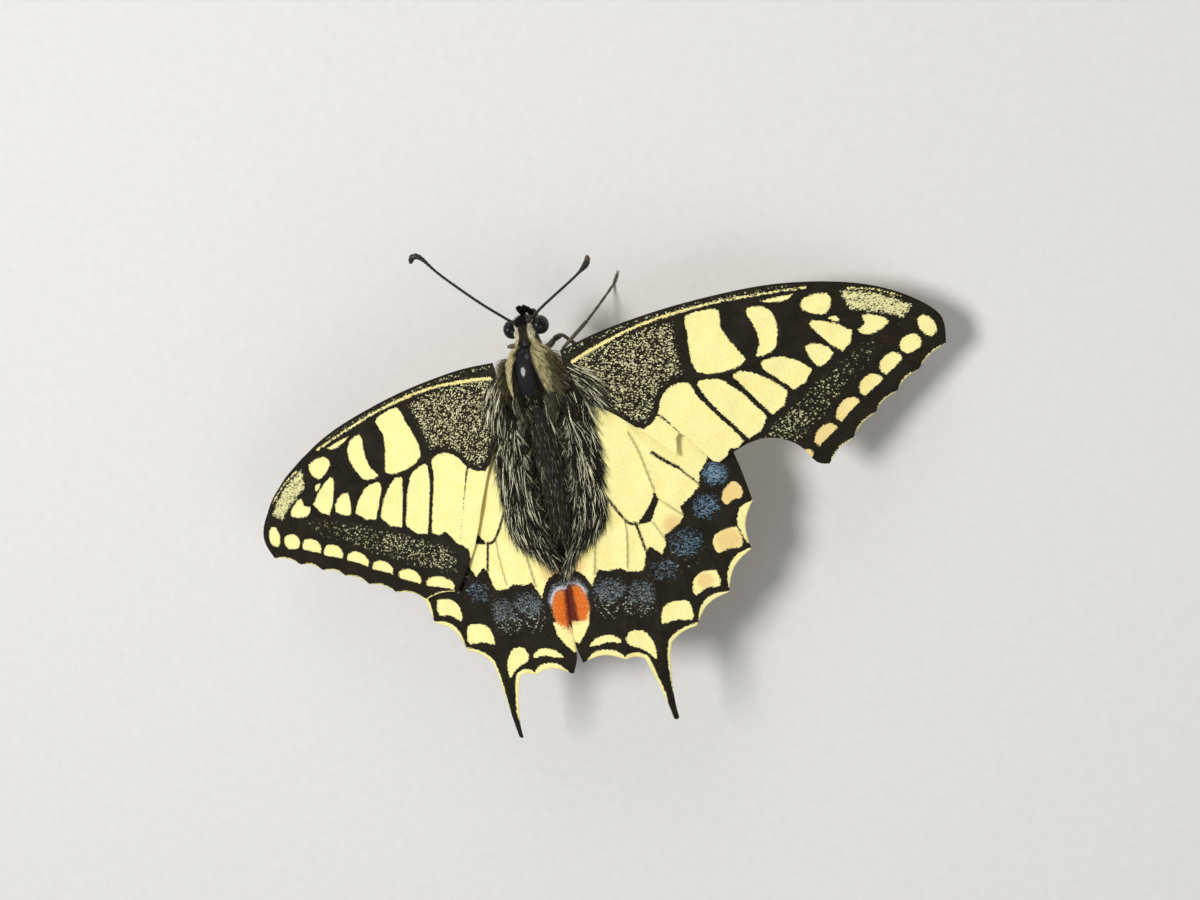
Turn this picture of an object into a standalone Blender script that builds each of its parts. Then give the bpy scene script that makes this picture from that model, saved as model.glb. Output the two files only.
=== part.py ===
"""Swallowtail butterfly, life size, standing on its six feet with the wings spread.

Lengths are in millimetres and become metres in the meshes. While it is being
shaped, the body stands with the point midway between the forewing hinges at
zero, the head towards +Y and the butterfly's right side towards +X. Its empty
then lifts it so that the feet stand at height zero.
"""

import math

import bmesh
import bpy
from mathutils import Vector
from mathutils.geometry import delaunay_2d_cdt

MM = 0.001

# Stance: the floor lies this far under the forewing hinges.
STANCE_HEIGHT = 12.5
GAP = 0.3

# Wings: plates with a droop to the sides and a sweep to the rear, in degrees.
WING_THICKNESS = 0.5
FOREWING_HINGE = (3.73, 0.0, 0.0)
FOREWING_DROOP = 11.5
FOREWING_SWEEP = {"right": 0.0, "left": -18.7}
HINDWING_HINGE = (3.38, -2.66, -0.85)
HINDWING_DROOP = 12.0
HINDWING_SWEEP = {"right": 0.0, "left": 5.0}
HINDWING_STRETCH = {"right": 1.0, "left": 1.03}
CURVE_STEPS = 3
INNER_SPACING = 3.1
MARGIN_CLEARANCE = 1.1

# A wing is drawn from its hinge, x outwards and y forwards, from the front of its
# root round to the rear of its root. The tips are where its veins meet the edge.
FOREWING_COSTA = [(-0.1, 1.0), (4.6, 2.3), (12.0, 3.4), (20.0, 3.8)]
FOREWING_TIPS = {
    "subcosta": (25.5, 3.4),
    "radius_1": (31.0, 2.2),
    "radius_2": (35.2, 0.3),
    "radius_3": (38.2, -2.3),
    "radius_4": (38.3, -5.2),
    "radius_5": (35.2, -7.3),
    "media_1": (32.7, -9.1),
    "media_2": (30.2, -10.9),
    "media_3": (27.6, -13.0),
    "cubitus_1": (24.8, -15.2),
    "cubitus_2": (21.4, -17.4),
    "anal": (17.1, -18.3),
}
FOREWING_INNER = [(12.3, -14.6), (8.2, -10.2), (4.6, -6.7), (1.4, -4.3), (0.5, -2.4)]
FOREWING_SCALLOP = 0.3
FOREWING_CAMBER = 0.45

# The right forewing has lost its rear corner, up to a slit beside its last vein.
TORN_FROM = "cubitus_1"
TORN_EDGE = [
    (23.6, -14.8),
    (22.5, -13.2),
    (21.3, -12.2),
    (19.3, -11.5),
    (17.1, -11.7),
    (14.8, -12.6),
    (13.3, -12.9),
    (10.4, -9.4),
    (9.8, -11.9),
]

HINDWING_COSTA = [(0.2, 0.4), (3.6, 0.3), (8.6, -1.4), (12.6, -4.6), (15.4, -9.0)]
HINDWING_TIPS = {
    "subcosta": (16.7, -15.0),
    "radial_sector": (15.7, -19.9),
    "media_1": (12.6, -24.0),
    "media_2": (8.7, -26.9),
}
TAIL_ROOT = {"outer": (5.4, -28.6), "inner": (2.6, -29.5)}
TAIL_TIP = (4.55, -36.9)
TAIL_TIP_HALF = 0.28
TAIL_TAPER = 1.67
HINDWING_REAR_TIPS = {
    "right": [(0.7, -29.3), (-4.0, -29.1)],
    "left": [(0.7, -29.3), (-3.6, -29.2)],
}
HINDWING_INNER = {
    "right": [
        (-4.05, -27.2),
        (-4.1, -23.6),
        (-3.94, -20.5),
        (-3.72, -19.5),
        (-3.52, -18.7),
        (-3.4, -18.1),
        (-2.9, -17.5),
        (-2.1, -16.6),
        (-1.3, -14.5),
        (-0.95, -8.0),
    ],
    "left": [
        (-3.95, -27.2),
        (-3.85, -23.6),
        (-3.87, -19.7),
        (-4.0, -18.7),
        (-4.1, -17.9),
        (-4.05, -17.3),
        (-3.7, -16.75),
        (-3.1, -16.0),
        (-2.5, -14.6),
        (-1.6, -8.0),
    ],
}
HINDWING_ROOT_REAR = (-0.8, -2.0)
HINDWING_SCALLOP = 0.7
TAIL_DROP = 0.02
FOLD_DROP = 0.06

# Body: centres and half sizes across, along and up.
THORAX_CENTRE = (0.0, -1.1, -1.0)
THORAX_HALF = (3.1, 3.6, 3.2)
THORAX_BLUNTNESS = 2.7
HEAD_CENTRE = (0.0, 3.9, -1.55)
HEAD_HALF = (1.7, 1.1, 1.45)
EYE_CENTRE = (1.62, 3.95, -1.5)
EYE_HALF = (0.84, 0.98, 1.2)
ABDOMEN_FRONT = (0.0, -5.0, -1.65)
ABDOMEN_LENGTH = 15.7
ABDOMEN_RADIUS = 2.1
ABDOMEN_TILT = 1.0
ABDOMEN_RINGS = 8
PALP_FROM = (0.46, 5.17, -2.9)
PALP_TO = (0.52, 6.0, -1.3)
PALP_RADIUS = 0.36
PROBOSCIS_CENTRE = (0.0, 4.5, -4.4)
PROBOSCIS_RADIUS = 0.26
PROBOSCIS_TURNS = 1.75
PROBOSCIS_OUTER = 1.1

# Feelers: from the root on the crown to the tip, past the club.
FEELER_RADIUS = 0.25
FEELER_CLUB_RADIUS = 0.4
FEELER_CLUB_AT = 0.92
FEELERS = {
    "left": [
        (-0.6, 4.65, 0.0),
        (-3.27, 7.33, 1.5),
        (-6.3, 10.9, 3.1),
        (-7.7, 12.9, 3.8),
        (-8.5, 13.2, 4.0),
        (-9.0, 12.6, 3.7),
    ],
    "right": [
        (0.7, 4.7, 0.0),
        (3.72, 6.05, 1.6),
        (8.3, 8.1, 5.0),
        (10.2, 9.05, 6.5),
        (10.9, 9.6, 7.05),
        (11.1, 10.2, 7.3),
    ],
}

# Legs: hip, trochanter, knee, ankle, heel on the floor and toe.
FEMUR_RADIUS = 0.4
TIBIA_RADIUS = 0.3
TARSUS_RADIUS = 0.27
KNEE_ROOM = 0.3  # a short femur has no ring nearer its knee than this
TOE_HEIGHT = 0.22
LEGS = {
    "front_right": [(1.0, 1.2, -4.05), (1.4, 2.0, -5.0), (2.6, 2.4, -4.5), (3.0, 0.2, -8.9)],
    "middle_right": [(1.6, -1.0, -4.35), (2.1, -1.9, -5.4), (2.95, 1.0, -2.9), (4.6, 3.2, -7.4)],
    "hind_right": [(1.6, -3.1, -3.95), (2.4, -3.9, -5.0), (5.6, -6.9, -3.8), (8.1, -11.0, -9.6)],
    "front_left": [(-1.0, 1.2, -4.05), (-1.5, 1.9, -5.1), (-3.5, 2.1, -4.3), (-4.1, 1.7, -9.2)],
    "middle_left": [(-1.6, -1.0, -4.2), (-2.4, -1.2, -5.3), (-5.6, -1.3, -3.4), (-8.0, -1.9, -9.4)],
    "hind_left": [(-1.6, -3.1, -3.95), (-2.4, -3.9, -5.0), (-5.4, -6.6, -3.8), (-7.8, -10.8, -9.6)],
}
FEET = {
    "front_right": [(3.3, -0.2), (3.7, 0.9)],
    "middle_right": [(6.55, 6.3), (7.2, 7.4)],
    "hind_right": [(8.9, -12.7), (9.6, -14.4)],
    "front_left": [(-4.3, 1.9), (-4.7, 3.0)],
    "middle_left": [(-8.7, -1.9), (-10.0, -1.5)],
    "hind_left": [(-8.6, -12.6), (-9.2, -14.4)],
}

COLOURS = {
    "wing": ((0.80, 0.66, 0.25, 1.0), 0.75),
    "thorax": ((0.10, 0.09, 0.05, 1.0), 0.8),
    "abdomen": ((0.12, 0.11, 0.07, 1.0), 0.8),
    "head": ((0.09, 0.08, 0.05, 1.0), 0.8),
    "eye": ((0.02, 0.025, 0.03, 1.0), 0.15),
    "feeler": ((0.012, 0.010, 0.008, 1.0), 0.5),
    "palp": ((0.20, 0.17, 0.08, 1.0), 0.85),
    "leg": ((0.12, 0.10, 0.05, 1.0), 0.6),
}


def clear_scene():
    for thing in list(bpy.data.objects):
        bpy.data.objects.remove(thing, do_unlink=True)


def make_material(name, kind):
    colour, roughness = COLOURS[kind]
    material = bpy.data.materials.new(name)
    material.use_nodes = True
    shader = material.node_tree.nodes["Principled BSDF"]
    shader.inputs["Base Color"].default_value = colour
    shader.inputs["Roughness"].default_value = roughness
    shader.inputs["Metallic"].default_value = 0.0
    return material


def add_part(name, mesh, kind, place):
    """A named object on the body's empty, with its own material."""
    part = bpy.data.objects.new(name, mesh)
    place["collection"].objects.link(part)
    part.parent = place["empty"]
    mesh.materials.clear()
    mesh.materials.append(make_material(name + "_finish", kind))
    mesh.shade_smooth()
    mesh.set_sharp_from_angle(angle=math.radians(50))
    return part


def in_metres(point):
    return Vector(point) * MM


def stretched(points, factor):
    return [(factor * x, factor * y) for x, y in points]


def mirrored(points, side):
    """The same outline for the other side: its x turned round and its order kept."""
    sign = 1.0 if side == "right" else -1.0
    return [(sign * x, y) for x, y in points]


# ---- Wings ----


def smooth_line(points, steps=CURVE_STEPS):
    """A Catmull-Rom line through the points, with its last point left out."""
    ends = [points[0], *points, points[-1]]
    line = []
    for before, start, end, after in zip(ends, ends[1:], ends[2:], ends[3:]):
        for step in range(steps):
            t = step / steps
            line.append(
                tuple(
                    0.5
                    * (
                        2 * b
                        + (c - a) * t
                        + (2 * a - 5 * b + 4 * c - d) * t**2
                        + (3 * b - a - 3 * c + d) * t**3
                    )
                    for a, b, c, d in zip(before, start, end, after)
                )
            )
    return line


def scalloped_line(tips, depth, steps=4):
    """From tip to tip with a shallow hollow between, its last tip left out."""
    line = []
    for start, end in zip(tips, tips[1:]):
        along = Vector(end) - Vector(start)
        inwards = Vector((along.y, -along.x)).normalized()
        for step in range(steps):
            t = step / steps
            point = Vector(start) + along * t + inwards * depth * math.sin(math.pi * t)
            line.append(tuple(point))
    return line


def forewing_outline(torn):
    tips = list(FOREWING_TIPS.values())
    names = list(FOREWING_TIPS)
    apex = names.index("radius_3")
    line = smooth_line(FOREWING_COSTA + tips[: apex + 2])
    line = line[:-CURVE_STEPS] + smooth_line([tips[apex], tips[apex + 1]])
    if not torn:
        line += scalloped_line(tips[apex + 1 :], FOREWING_SCALLOP)
        return line + smooth_line([tips[-1], *FOREWING_INNER]) + [FOREWING_INNER[-1]]
    last = names.index(TORN_FROM)
    line += scalloped_line(tips[apex + 1 : last + 1], FOREWING_SCALLOP)
    line += [tips[last], *TORN_EDGE]
    kept = [point for point in FOREWING_INNER if point[0] < TORN_EDGE[-1][0] - 1.0]
    return line + smooth_line(kept) + [FOREWING_INNER[-1]]


def tail_outline():
    """Out along the outer side of the tail, round its tip and back."""
    root = (Vector(TAIL_ROOT["outer"]) + Vector(TAIL_ROOT["inner"])) / 2
    tip = Vector(TAIL_TIP)
    axis = tip - root
    across = Vector((-axis.y, axis.x)).normalized()
    root_half = (Vector(TAIL_ROOT["outer"]) - Vector(TAIL_ROOT["inner"])).length / 2
    centre = tip - axis.normalized() * TAIL_TIP_HALF
    sides = {"outer": [], "inner": []}
    for step in range(1, 7):
        t = step / 7
        half = TAIL_TIP_HALF + (root_half - TAIL_TIP_HALF) * (1 - t) ** TAIL_TAPER
        middle = root + (centre - root) * t
        sides["outer"].append(tuple(middle + across * half))
        sides["inner"].append(tuple(middle - across * half))
    cap = []
    for step in range(7):
        turn = math.pi * step / 6
        ahead = axis.normalized() * math.sin(turn) + across * math.cos(turn)
        cap.append(tuple(centre + ahead * TAIL_TIP_HALF))
    return sides["outer"] + cap + sides["inner"][::-1]


def hindwing_outline(side):
    tips = list(HINDWING_TIPS.values())
    rear = HINDWING_REAR_TIPS[side]
    line = smooth_line([*HINDWING_COSTA, tips[0]])
    line += scalloped_line(tips, HINDWING_SCALLOP)
    line += scalloped_line([tips[-1], TAIL_ROOT["outer"]], HINDWING_SCALLOP / 2)
    line += [TAIL_ROOT["outer"], *tail_outline(), TAIL_ROOT["inner"]]
    line += scalloped_line(rear, HINDWING_SCALLOP)
    inner = [rear[-1], *HINDWING_INNER[side], HINDWING_ROOT_REAR]
    return line + smooth_line(inner) + [HINDWING_ROOT_REAR]


def forewing_height(x, y):
    """A low ridge behind the leading edge."""
    return FOREWING_CAMBER * math.exp(-(((y + 1.0) / 5.5) ** 2)) * x / (x + 6.0) if x > 0 else 0.0


def hindwing_height(x, y):
    """Level over most of the wing, falling at the tail and beside the abdomen."""
    tail = TAIL_DROP * max(0.0, -y - 27.5) ** 2
    fold = FOLD_DROP * max(0.0, -x) ** 2
    return -tail - fold


def inside(point, outline):
    """Whether a ray from the point crosses the outline an odd number of times."""
    x, y = point
    crossed = False
    for (ax, ay), (bx, by) in zip(outline, outline[1:] + outline[:1]):
        if (ay > y) != (by > y) and x < ax + (y - ay) * (bx - ax) / (by - ay):
            crossed = not crossed
    return crossed


def distance_to(point, outline):
    here = Vector(point)
    nearest = math.inf
    for start, end in zip(outline, outline[1:] + outline[:1]):
        along = Vector(end) - Vector(start)
        t = (here - Vector(start)).dot(along) / max(along.length_squared, 1e-9)
        closest = Vector(start) + along * min(1.0, max(0.0, t))
        nearest = min(nearest, (here - closest).length)
    return nearest


def inner_points(outline):
    """A honeycomb of points inside the outline, clear of its edge."""
    points = []
    rows = int(45 / INNER_SPACING)
    for row in range(-rows, rows):
        for column in range(-2 * rows, 2 * rows):
            x = (column + 0.5 * (row % 2)) * INNER_SPACING
            y = row * INNER_SPACING * math.sqrt(0.75)
            point = (x, y)
            if inside(point, outline) and distance_to(point, outline) > MARGIN_CLEARANCE:
                points.append(point)
    return points


def wing_mesh(name, outline, height, side):
    """The outline filled with triangles, each point raised by the height formula."""
    outline = mirrored(outline, side)
    flat = [Vector(point) for point in outline + inner_points(outline)]
    count = len(outline)
    edges = [(index, (index + 1) % count) for index in range(count)]
    points, _, faces, *_ = delaunay_2d_cdt(flat, edges, [], 1, 1e-5)
    sign = 1.0 if side == "right" else -1.0
    mesh = bpy.data.meshes.new(name)
    raised = [in_metres((p.x, p.y, height(sign * p.x, p.y))) for p in points]
    mesh.from_pydata(raised, [], faces)
    return mesh


def add_wing(name, side, outline, height, hinge, droop, sweep, place):
    mesh = wing_mesh(name, outline, height, side)
    wing = add_part(name, mesh, "wing", place)
    sign = 1.0 if side == "right" else -1.0
    wing.location = in_metres((sign * hinge[0], hinge[1], hinge[2]))
    wing.rotation_mode = "ZYX"
    wing.rotation_euler = (0.0, math.radians(sign * droop), math.radians(sign * sweep))
    plate = wing.modifiers.new("thickness", "SOLIDIFY")
    plate.thickness = WING_THICKNESS * MM
    plate.offset = 0.0


def add_wings(place):
    for side in ("right", "left"):
        add_wing(
            "forewing_" + side,
            side,
            forewing_outline(torn=side == "right"),
            forewing_height,
            FOREWING_HINGE,
            FOREWING_DROOP,
            FOREWING_SWEEP[side],
            place,
        )
        add_wing(
            "hindwing_" + side,
            side,
            stretched(hindwing_outline(side), HINDWING_STRETCH[side]),
            hindwing_height,
            HINDWING_HINGE,
            HINDWING_DROOP,
            HINDWING_SWEEP[side],
            place,
        )


# ---- Body ----


def ellipsoid_mesh(name, centre, half, segments, rings, squeeze=None):
    """A sphere stretched to the half sizes; squeeze may change each unit point first."""
    shape = bmesh.new()
    bmesh.ops.create_uvsphere(shape, u_segments=segments, v_segments=rings, radius=1.0)
    for vertex in shape.verts:
        point = squeeze(vertex.co.copy()) if squeeze else vertex.co
        vertex.co = in_metres([c + h * p for c, h, p in zip(centre, half, point)])
    mesh = bpy.data.meshes.new(name)
    shape.to_mesh(mesh)
    shape.free()
    return mesh


def thorax_shape(point):
    """Blunter than an ellipsoid at both ends, and a little narrower in front."""
    round_section = math.sqrt(max(1e-9, 1.0 - point.y**2))
    blunt_section = max(0.0, 1.0 - abs(point.y) ** THORAX_BLUNTNESS) ** (1 / THORAX_BLUNTNESS)
    grown = blunt_section / round_section
    narrowed = 1.0 - 0.12 * max(0.0, point.y)
    return Vector((point.x * grown * narrowed, point.y, point.z * grown))


def add_thorax(place):
    mesh = ellipsoid_mesh("thorax", THORAX_CENTRE, THORAX_HALF, 26, 16, thorax_shape)
    add_part("thorax", mesh, "thorax", place)


def abdomen_radius(t):
    """Swells from the waist, holds, then narrows to a blunt tip, ringed by segments."""
    front = (1.0 - (1.0 - min(1.0, t / 0.14)) ** 2.6) ** (1 / 2.6)
    rear = math.sqrt(max(0.0, 1.0 - max(0.0, (t - 0.35) / 0.65) ** 2.2))
    ring = 1.0 + 0.025 * math.cos(2 * math.pi * ABDOMEN_RINGS * t)
    return ABDOMEN_RADIUS * front * rear * ring


def add_abdomen(place):
    """A profile turned about the body's long axis."""
    steps = 26
    profile = bpy.data.meshes.new("abdomen")
    points = []
    for step in range(steps + 1):
        t = 0.5 - 0.5 * math.cos(math.pi * step / steps)
        radius = 0.0 if step in (0, steps) else abdomen_radius(t)
        points.append(in_metres((radius, 0.0, -ABDOMEN_LENGTH * t)))
    edges = [(step, step + 1) for step in range(steps)]
    profile.from_pydata(points, edges, [])
    abdomen = add_part("abdomen", profile, "abdomen", place)
    abdomen.location = in_metres(ABDOMEN_FRONT)
    abdomen.rotation_euler = (math.radians(-90 + ABDOMEN_TILT), 0.0, 0.0)
    turn = abdomen.modifiers.new("turned", "SCREW")
    turn.axis = "Z"
    turn.steps = 20
    turn.render_steps = 20
    turn.use_merge_vertices = True
    turn.merge_threshold = 0.00001
    turn.use_smooth_shade = True


def add_head(place):
    """A rounded head with a socket for each eye."""
    mesh = ellipsoid_mesh("head", HEAD_CENTRE, HEAD_HALF, 24, 16)
    head = add_part("head", mesh, "head", place)
    for side, sign in (("right", 1.0), ("left", -1.0)):
        centre = (sign * EYE_CENTRE[0], EYE_CENTRE[1], EYE_CENTRE[2])
        eye = ellipsoid_mesh("eye_" + side, centre, EYE_HALF, 18, 12)
        add_part("eye_" + side, eye, "eye", place)
        room = [half + GAP for half in EYE_HALF]
        cutter_mesh = ellipsoid_mesh("socket_" + side, centre, room, 18, 12)
        cutter = bpy.data.objects.new("socket_" + side, cutter_mesh)
        place["cutters"].objects.link(cutter)
        cutter.parent = place["empty"]
        cutter.hide_render = True
        cutter.display_type = "WIRE"
        socket = head.modifiers.new("socket_" + side, "BOOLEAN")
        socket.operation = "DIFFERENCE"
        socket.object = cutter


# ---- Tubes ----


def tube_mesh(name, points, radii):
    """A round tube through the points, its radius given at each, with closed ends."""
    data = bpy.data.curves.new(name, "CURVE")
    data.dimensions = "3D"
    data.bevel_depth = MM
    data.bevel_resolution = 2
    data.use_fill_caps = True
    line = data.splines.new("POLY")
    line.points.add(len(points) - 1)
    for knot, point, radius in zip(line.points, points, radii):
        knot.co = (*in_metres(point), 1.0)
        knot.radius = radius
    guide = bpy.data.objects.new(name, data)
    bpy.context.scene.collection.objects.link(guide)
    graph = bpy.context.evaluated_depsgraph_get()
    mesh = bpy.data.meshes.new_from_object(guide.evaluated_get(graph))
    bpy.data.objects.remove(guide, do_unlink=True)
    shape = bmesh.new()
    shape.from_mesh(mesh)
    bmesh.ops.remove_doubles(shape, verts=shape.verts, dist=0.00001)
    bmesh.ops.recalc_face_normals(shape, faces=shape.faces)
    shape.to_mesh(mesh)
    shape.free()
    return mesh


def add_feelers(place):
    for side, points in FEELERS.items():
        line = [*smooth_line(points), points[-1]]
        lengths = [0.0]
        for start, end in zip(line, line[1:]):
            lengths.append(lengths[-1] + (Vector(end) - Vector(start)).length)
        radii = []
        for length in lengths:
            club = math.exp(-(((length / lengths[-1] - FEELER_CLUB_AT) / 0.075) ** 2))
            radii.append(FEELER_RADIUS + (FEELER_CLUB_RADIUS - FEELER_RADIUS) * club)
        mesh = tube_mesh("antenna_" + side, line, radii)
        add_part("antenna_" + side, mesh, "feeler", place)


def add_palps(place):
    steps = 8
    for side, sign in (("right", 1.0), ("left", -1.0)):
        start = Vector((sign * PALP_FROM[0], *PALP_FROM[1:]))
        end = Vector((sign * PALP_TO[0], *PALP_TO[1:]))
        line = [start.lerp(end, step / steps) for step in range(steps + 1)]
        radii = []
        for step in range(steps + 1):
            t = 0.04 + 0.92 * step / steps
            radii.append(PALP_RADIUS * (1 - (2 * t - 1) ** 4) ** 0.5 * (1 - 0.25 * t))
        mesh = tube_mesh("palp_" + side, line, radii)
        add_part("palp_" + side, mesh, "palp", place)


def add_proboscis(place):
    """The coiled tongue, a flat spiral under the head."""
    steps = 26
    centre = Vector(PROBOSCIS_CENTRE)
    line = []
    for step in range(steps + 1):
        t = step / steps
        turn = 2 * math.pi * PROBOSCIS_TURNS * t
        radius = PROBOSCIS_OUTER * (1 - t) + 0.1 * t
        line.append(centre + Vector((0.0, radius * math.cos(turn), radius * math.sin(turn))))
    radii = [PROBOSCIS_RADIUS] * (steps + 1)
    mesh = tube_mesh("proboscis", line, radii)
    add_part("proboscis", mesh, "feeler", place)


def add_legs(place):
    """Each leg is one tube, pressed flat where the foot stands on the floor."""
    floor = -STANCE_HEIGHT
    for name, joints in LEGS.items():
        hip, trochanter, knee, ankle = (Vector(point) for point in joints)
        heel, toe = (Vector((x, y, floor + TOE_HEIGHT)) for x, y in FEET[name])
        line = [hip, trochanter]
        radii = [FEMUR_RADIUS, FEMUR_RADIUS]
        for t in (0.3, 0.65, 0.9):
            if (knee - trochanter).length * (1 - t) < KNEE_ROOM:
                continue
            line.append(trochanter.lerp(knee, t))
            radii.append(FEMUR_RADIUS * (1.1 - 0.25 * t))
        line.append(knee)
        radii.append(TIBIA_RADIUS * 1.05)
        for t in (0.12, 0.5, 0.88):
            line.append(knee.lerp(ankle, t))
            radii.append(TIBIA_RADIUS)
        line.append(ankle)
        radii.append(TARSUS_RADIUS)
        for t in (0.5, 0.85):
            line.append(ankle.lerp(heel, t) + Vector((0, 0, -0.25 * math.sin(math.pi * t))))
            radii.append(TARSUS_RADIUS)
        line += [heel, heel.lerp(toe, 0.5), toe]
        radii += [TARSUS_RADIUS, TARSUS_RADIUS, TARSUS_RADIUS * 0.95]
        mesh = tube_mesh("leg_" + name, line, radii)
        for vertex in mesh.vertices:
            vertex.co.z = max(vertex.co.z, floor * MM)
        add_part("leg_" + name, mesh, "leg", place)


# ---- Whole ----


def stand_on_origin(place):
    """Moves the empty so that the middle of the whole object's base is at the origin."""
    bpy.context.view_layer.update()
    graph = bpy.context.evaluated_depsgraph_get()
    low = Vector((math.inf,) * 3)
    high = Vector((-math.inf,) * 3)
    for part in place["collection"].objects:
        if part.type != "MESH":
            continue
        solid = part.evaluated_get(graph)
        for vertex in solid.data.vertices:
            point = solid.matrix_world @ vertex.co
            low = Vector(map(min, low, point))
            high = Vector(map(max, high, point))
    middle = (low + high) / 2
    place["empty"].location = (-middle.x, -middle.y, -low.z)
    print("middle of the base, mm:", [round(v / MM, 3) for v in (middle.x, middle.y, low.z)])
    print("size, mm:", [round(v / MM, 2) for v in high - low])


def main():
    clear_scene()
    collection = bpy.data.collections.new("swallowtail_butterfly")
    cutters = bpy.data.collections.new("cutters")
    bpy.context.scene.collection.children.link(collection)
    bpy.context.scene.collection.children.link(cutters)
    empty = bpy.data.objects.new("butterfly", None)
    collection.objects.link(empty)
    place = {"collection": collection, "cutters": cutters, "empty": empty}
    add_wings(place)
    add_thorax(place)
    add_abdomen(place)
    add_head(place)
    add_palps(place)
    add_proboscis(place)
    add_feelers(place)
    add_legs(place)
    stand_on_origin(place)


main()
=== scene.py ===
import math
import bpy
import numpy as np
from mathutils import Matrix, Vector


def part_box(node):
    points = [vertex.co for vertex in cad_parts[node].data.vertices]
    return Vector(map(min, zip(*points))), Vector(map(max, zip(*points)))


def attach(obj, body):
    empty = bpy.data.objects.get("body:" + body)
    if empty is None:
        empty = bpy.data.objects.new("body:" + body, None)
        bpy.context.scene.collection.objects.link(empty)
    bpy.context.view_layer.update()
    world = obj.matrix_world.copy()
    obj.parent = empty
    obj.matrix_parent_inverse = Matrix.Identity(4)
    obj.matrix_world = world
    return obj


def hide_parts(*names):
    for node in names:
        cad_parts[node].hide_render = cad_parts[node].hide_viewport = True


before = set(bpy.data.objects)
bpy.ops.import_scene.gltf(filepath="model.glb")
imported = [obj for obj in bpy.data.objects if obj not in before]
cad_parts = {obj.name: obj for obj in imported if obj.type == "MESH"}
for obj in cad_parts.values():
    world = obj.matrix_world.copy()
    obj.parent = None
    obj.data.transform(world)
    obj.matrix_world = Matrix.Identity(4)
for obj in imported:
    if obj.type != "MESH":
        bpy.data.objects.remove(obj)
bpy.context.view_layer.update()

mm = 0.001
dice = np.random.default_rng(4)

# Lengths below are millimetres. The body's own frame has zero midway between the forewing
# hinges, the head towards +Y and the right side towards +X. Its place comes from the thorax.
thoraxMiddle = (0.0, -1.1, -1.0)
low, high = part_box("thorax")
bodyOrigin = (np.array(low) + np.array(high)) / 2 / mm - np.array(thoraxMiddle)
floorHeight = -bodyOrigin[2]
sides = {"right": 1.0, "left": -1.0}


# Shader maths as plain expressions: each value knows its finish and its socket.
class Value:
    def __init__(self, finish, socket):
        self.finish = finish
        self.socket = socket

    def _maths(self, operation, first, second=0.0, clamp=False):
        inputs = {0: first, 1: second}
        return self.finish.add("Math", {"operation": operation, "use_clamp": clamp}, inputs)

    def __add__(self, other):
        return self._maths("ADD", self, other)

    def __sub__(self, other):
        return self._maths("SUBTRACT", self, other)

    def __rsub__(self, other):
        return self._maths("SUBTRACT", other, self)

    def __mul__(self, other):
        return self._maths("MULTIPLY", self, other)

    __radd__ = __add__
    __rmul__ = __mul__

    def clamped(self):
        return self._maths("ADD", self, 0.0, True)

    def step(self, start, end):
        inputs = {"Value": self, "From Min": start, "From Max": end}
        return self.finish.add("MapRange", {"interpolation_type": "SMOOTHSTEP"}, inputs)


class Finish:
    def __init__(self, name, **constants):
        self.material = bpy.data.materials.new(name)
        self.material.use_nodes = True
        self.tree = self.material.node_tree
        self.shader = self.tree.nodes["Principled BSDF"]
        for socket, value in constants.items():
            self.shader.inputs[socket.replace("_", " ")].default_value = value

    def feed(self, socket, value):
        if isinstance(value, Value):
            self.tree.links.new(value.socket, socket)
        else:
            socket.default_value = value

    def add(self, kind, settings=None, inputs=None, output=0):
        node = self.tree.nodes.new("ShaderNode" + kind)
        for key, setting in (settings or {}).items():
            setattr(node, key, setting)
        for key, value in (inputs or {}).items():
            self.feed(node.inputs[key], value)
        return Value(self, node.outputs[output])

    def number(self, name):
        return self.add("Attribute", {"attribute_name": name}, None, "Fac")

    def mix(self, factor, first, second):
        return self.add("Mix", {"data_type": "RGBA"}, {0: factor, 6: first, 7: second}, 2)

    def cells(self, place, scale, randomness=1.0):
        inputs = {"Vector": place, "Scale": scale, "Randomness": randomness}
        colour = self.add("TexVoronoi", None, inputs, "Color")
        return self.add("SeparateColor", None, {0: colour}, 0)

    def noise(self, place, scale):
        return self.add("TexNoise", None, {"Vector": place, "Scale": scale, "Detail": 3.0}, 0)

    def place(self):
        return self.add("TexCoord", None, None, "Object")

    def stretched(self, place, scale):
        return self.add("Mapping", None, {"Vector": place, "Scale": scale})

    def bump(self, height, strength, depth):
        inputs = {"Height": height, "Strength": strength, "Distance": depth}
        self.feed(self.shader.inputs["Normal"], self.add("Bump", None, inputs))

    def finished(self, colour, roughness):
        self.feed(self.shader.inputs["Base Color"], colour)
        self.feed(self.shader.inputs["Roughness"], roughness)
        return self.material


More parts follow.
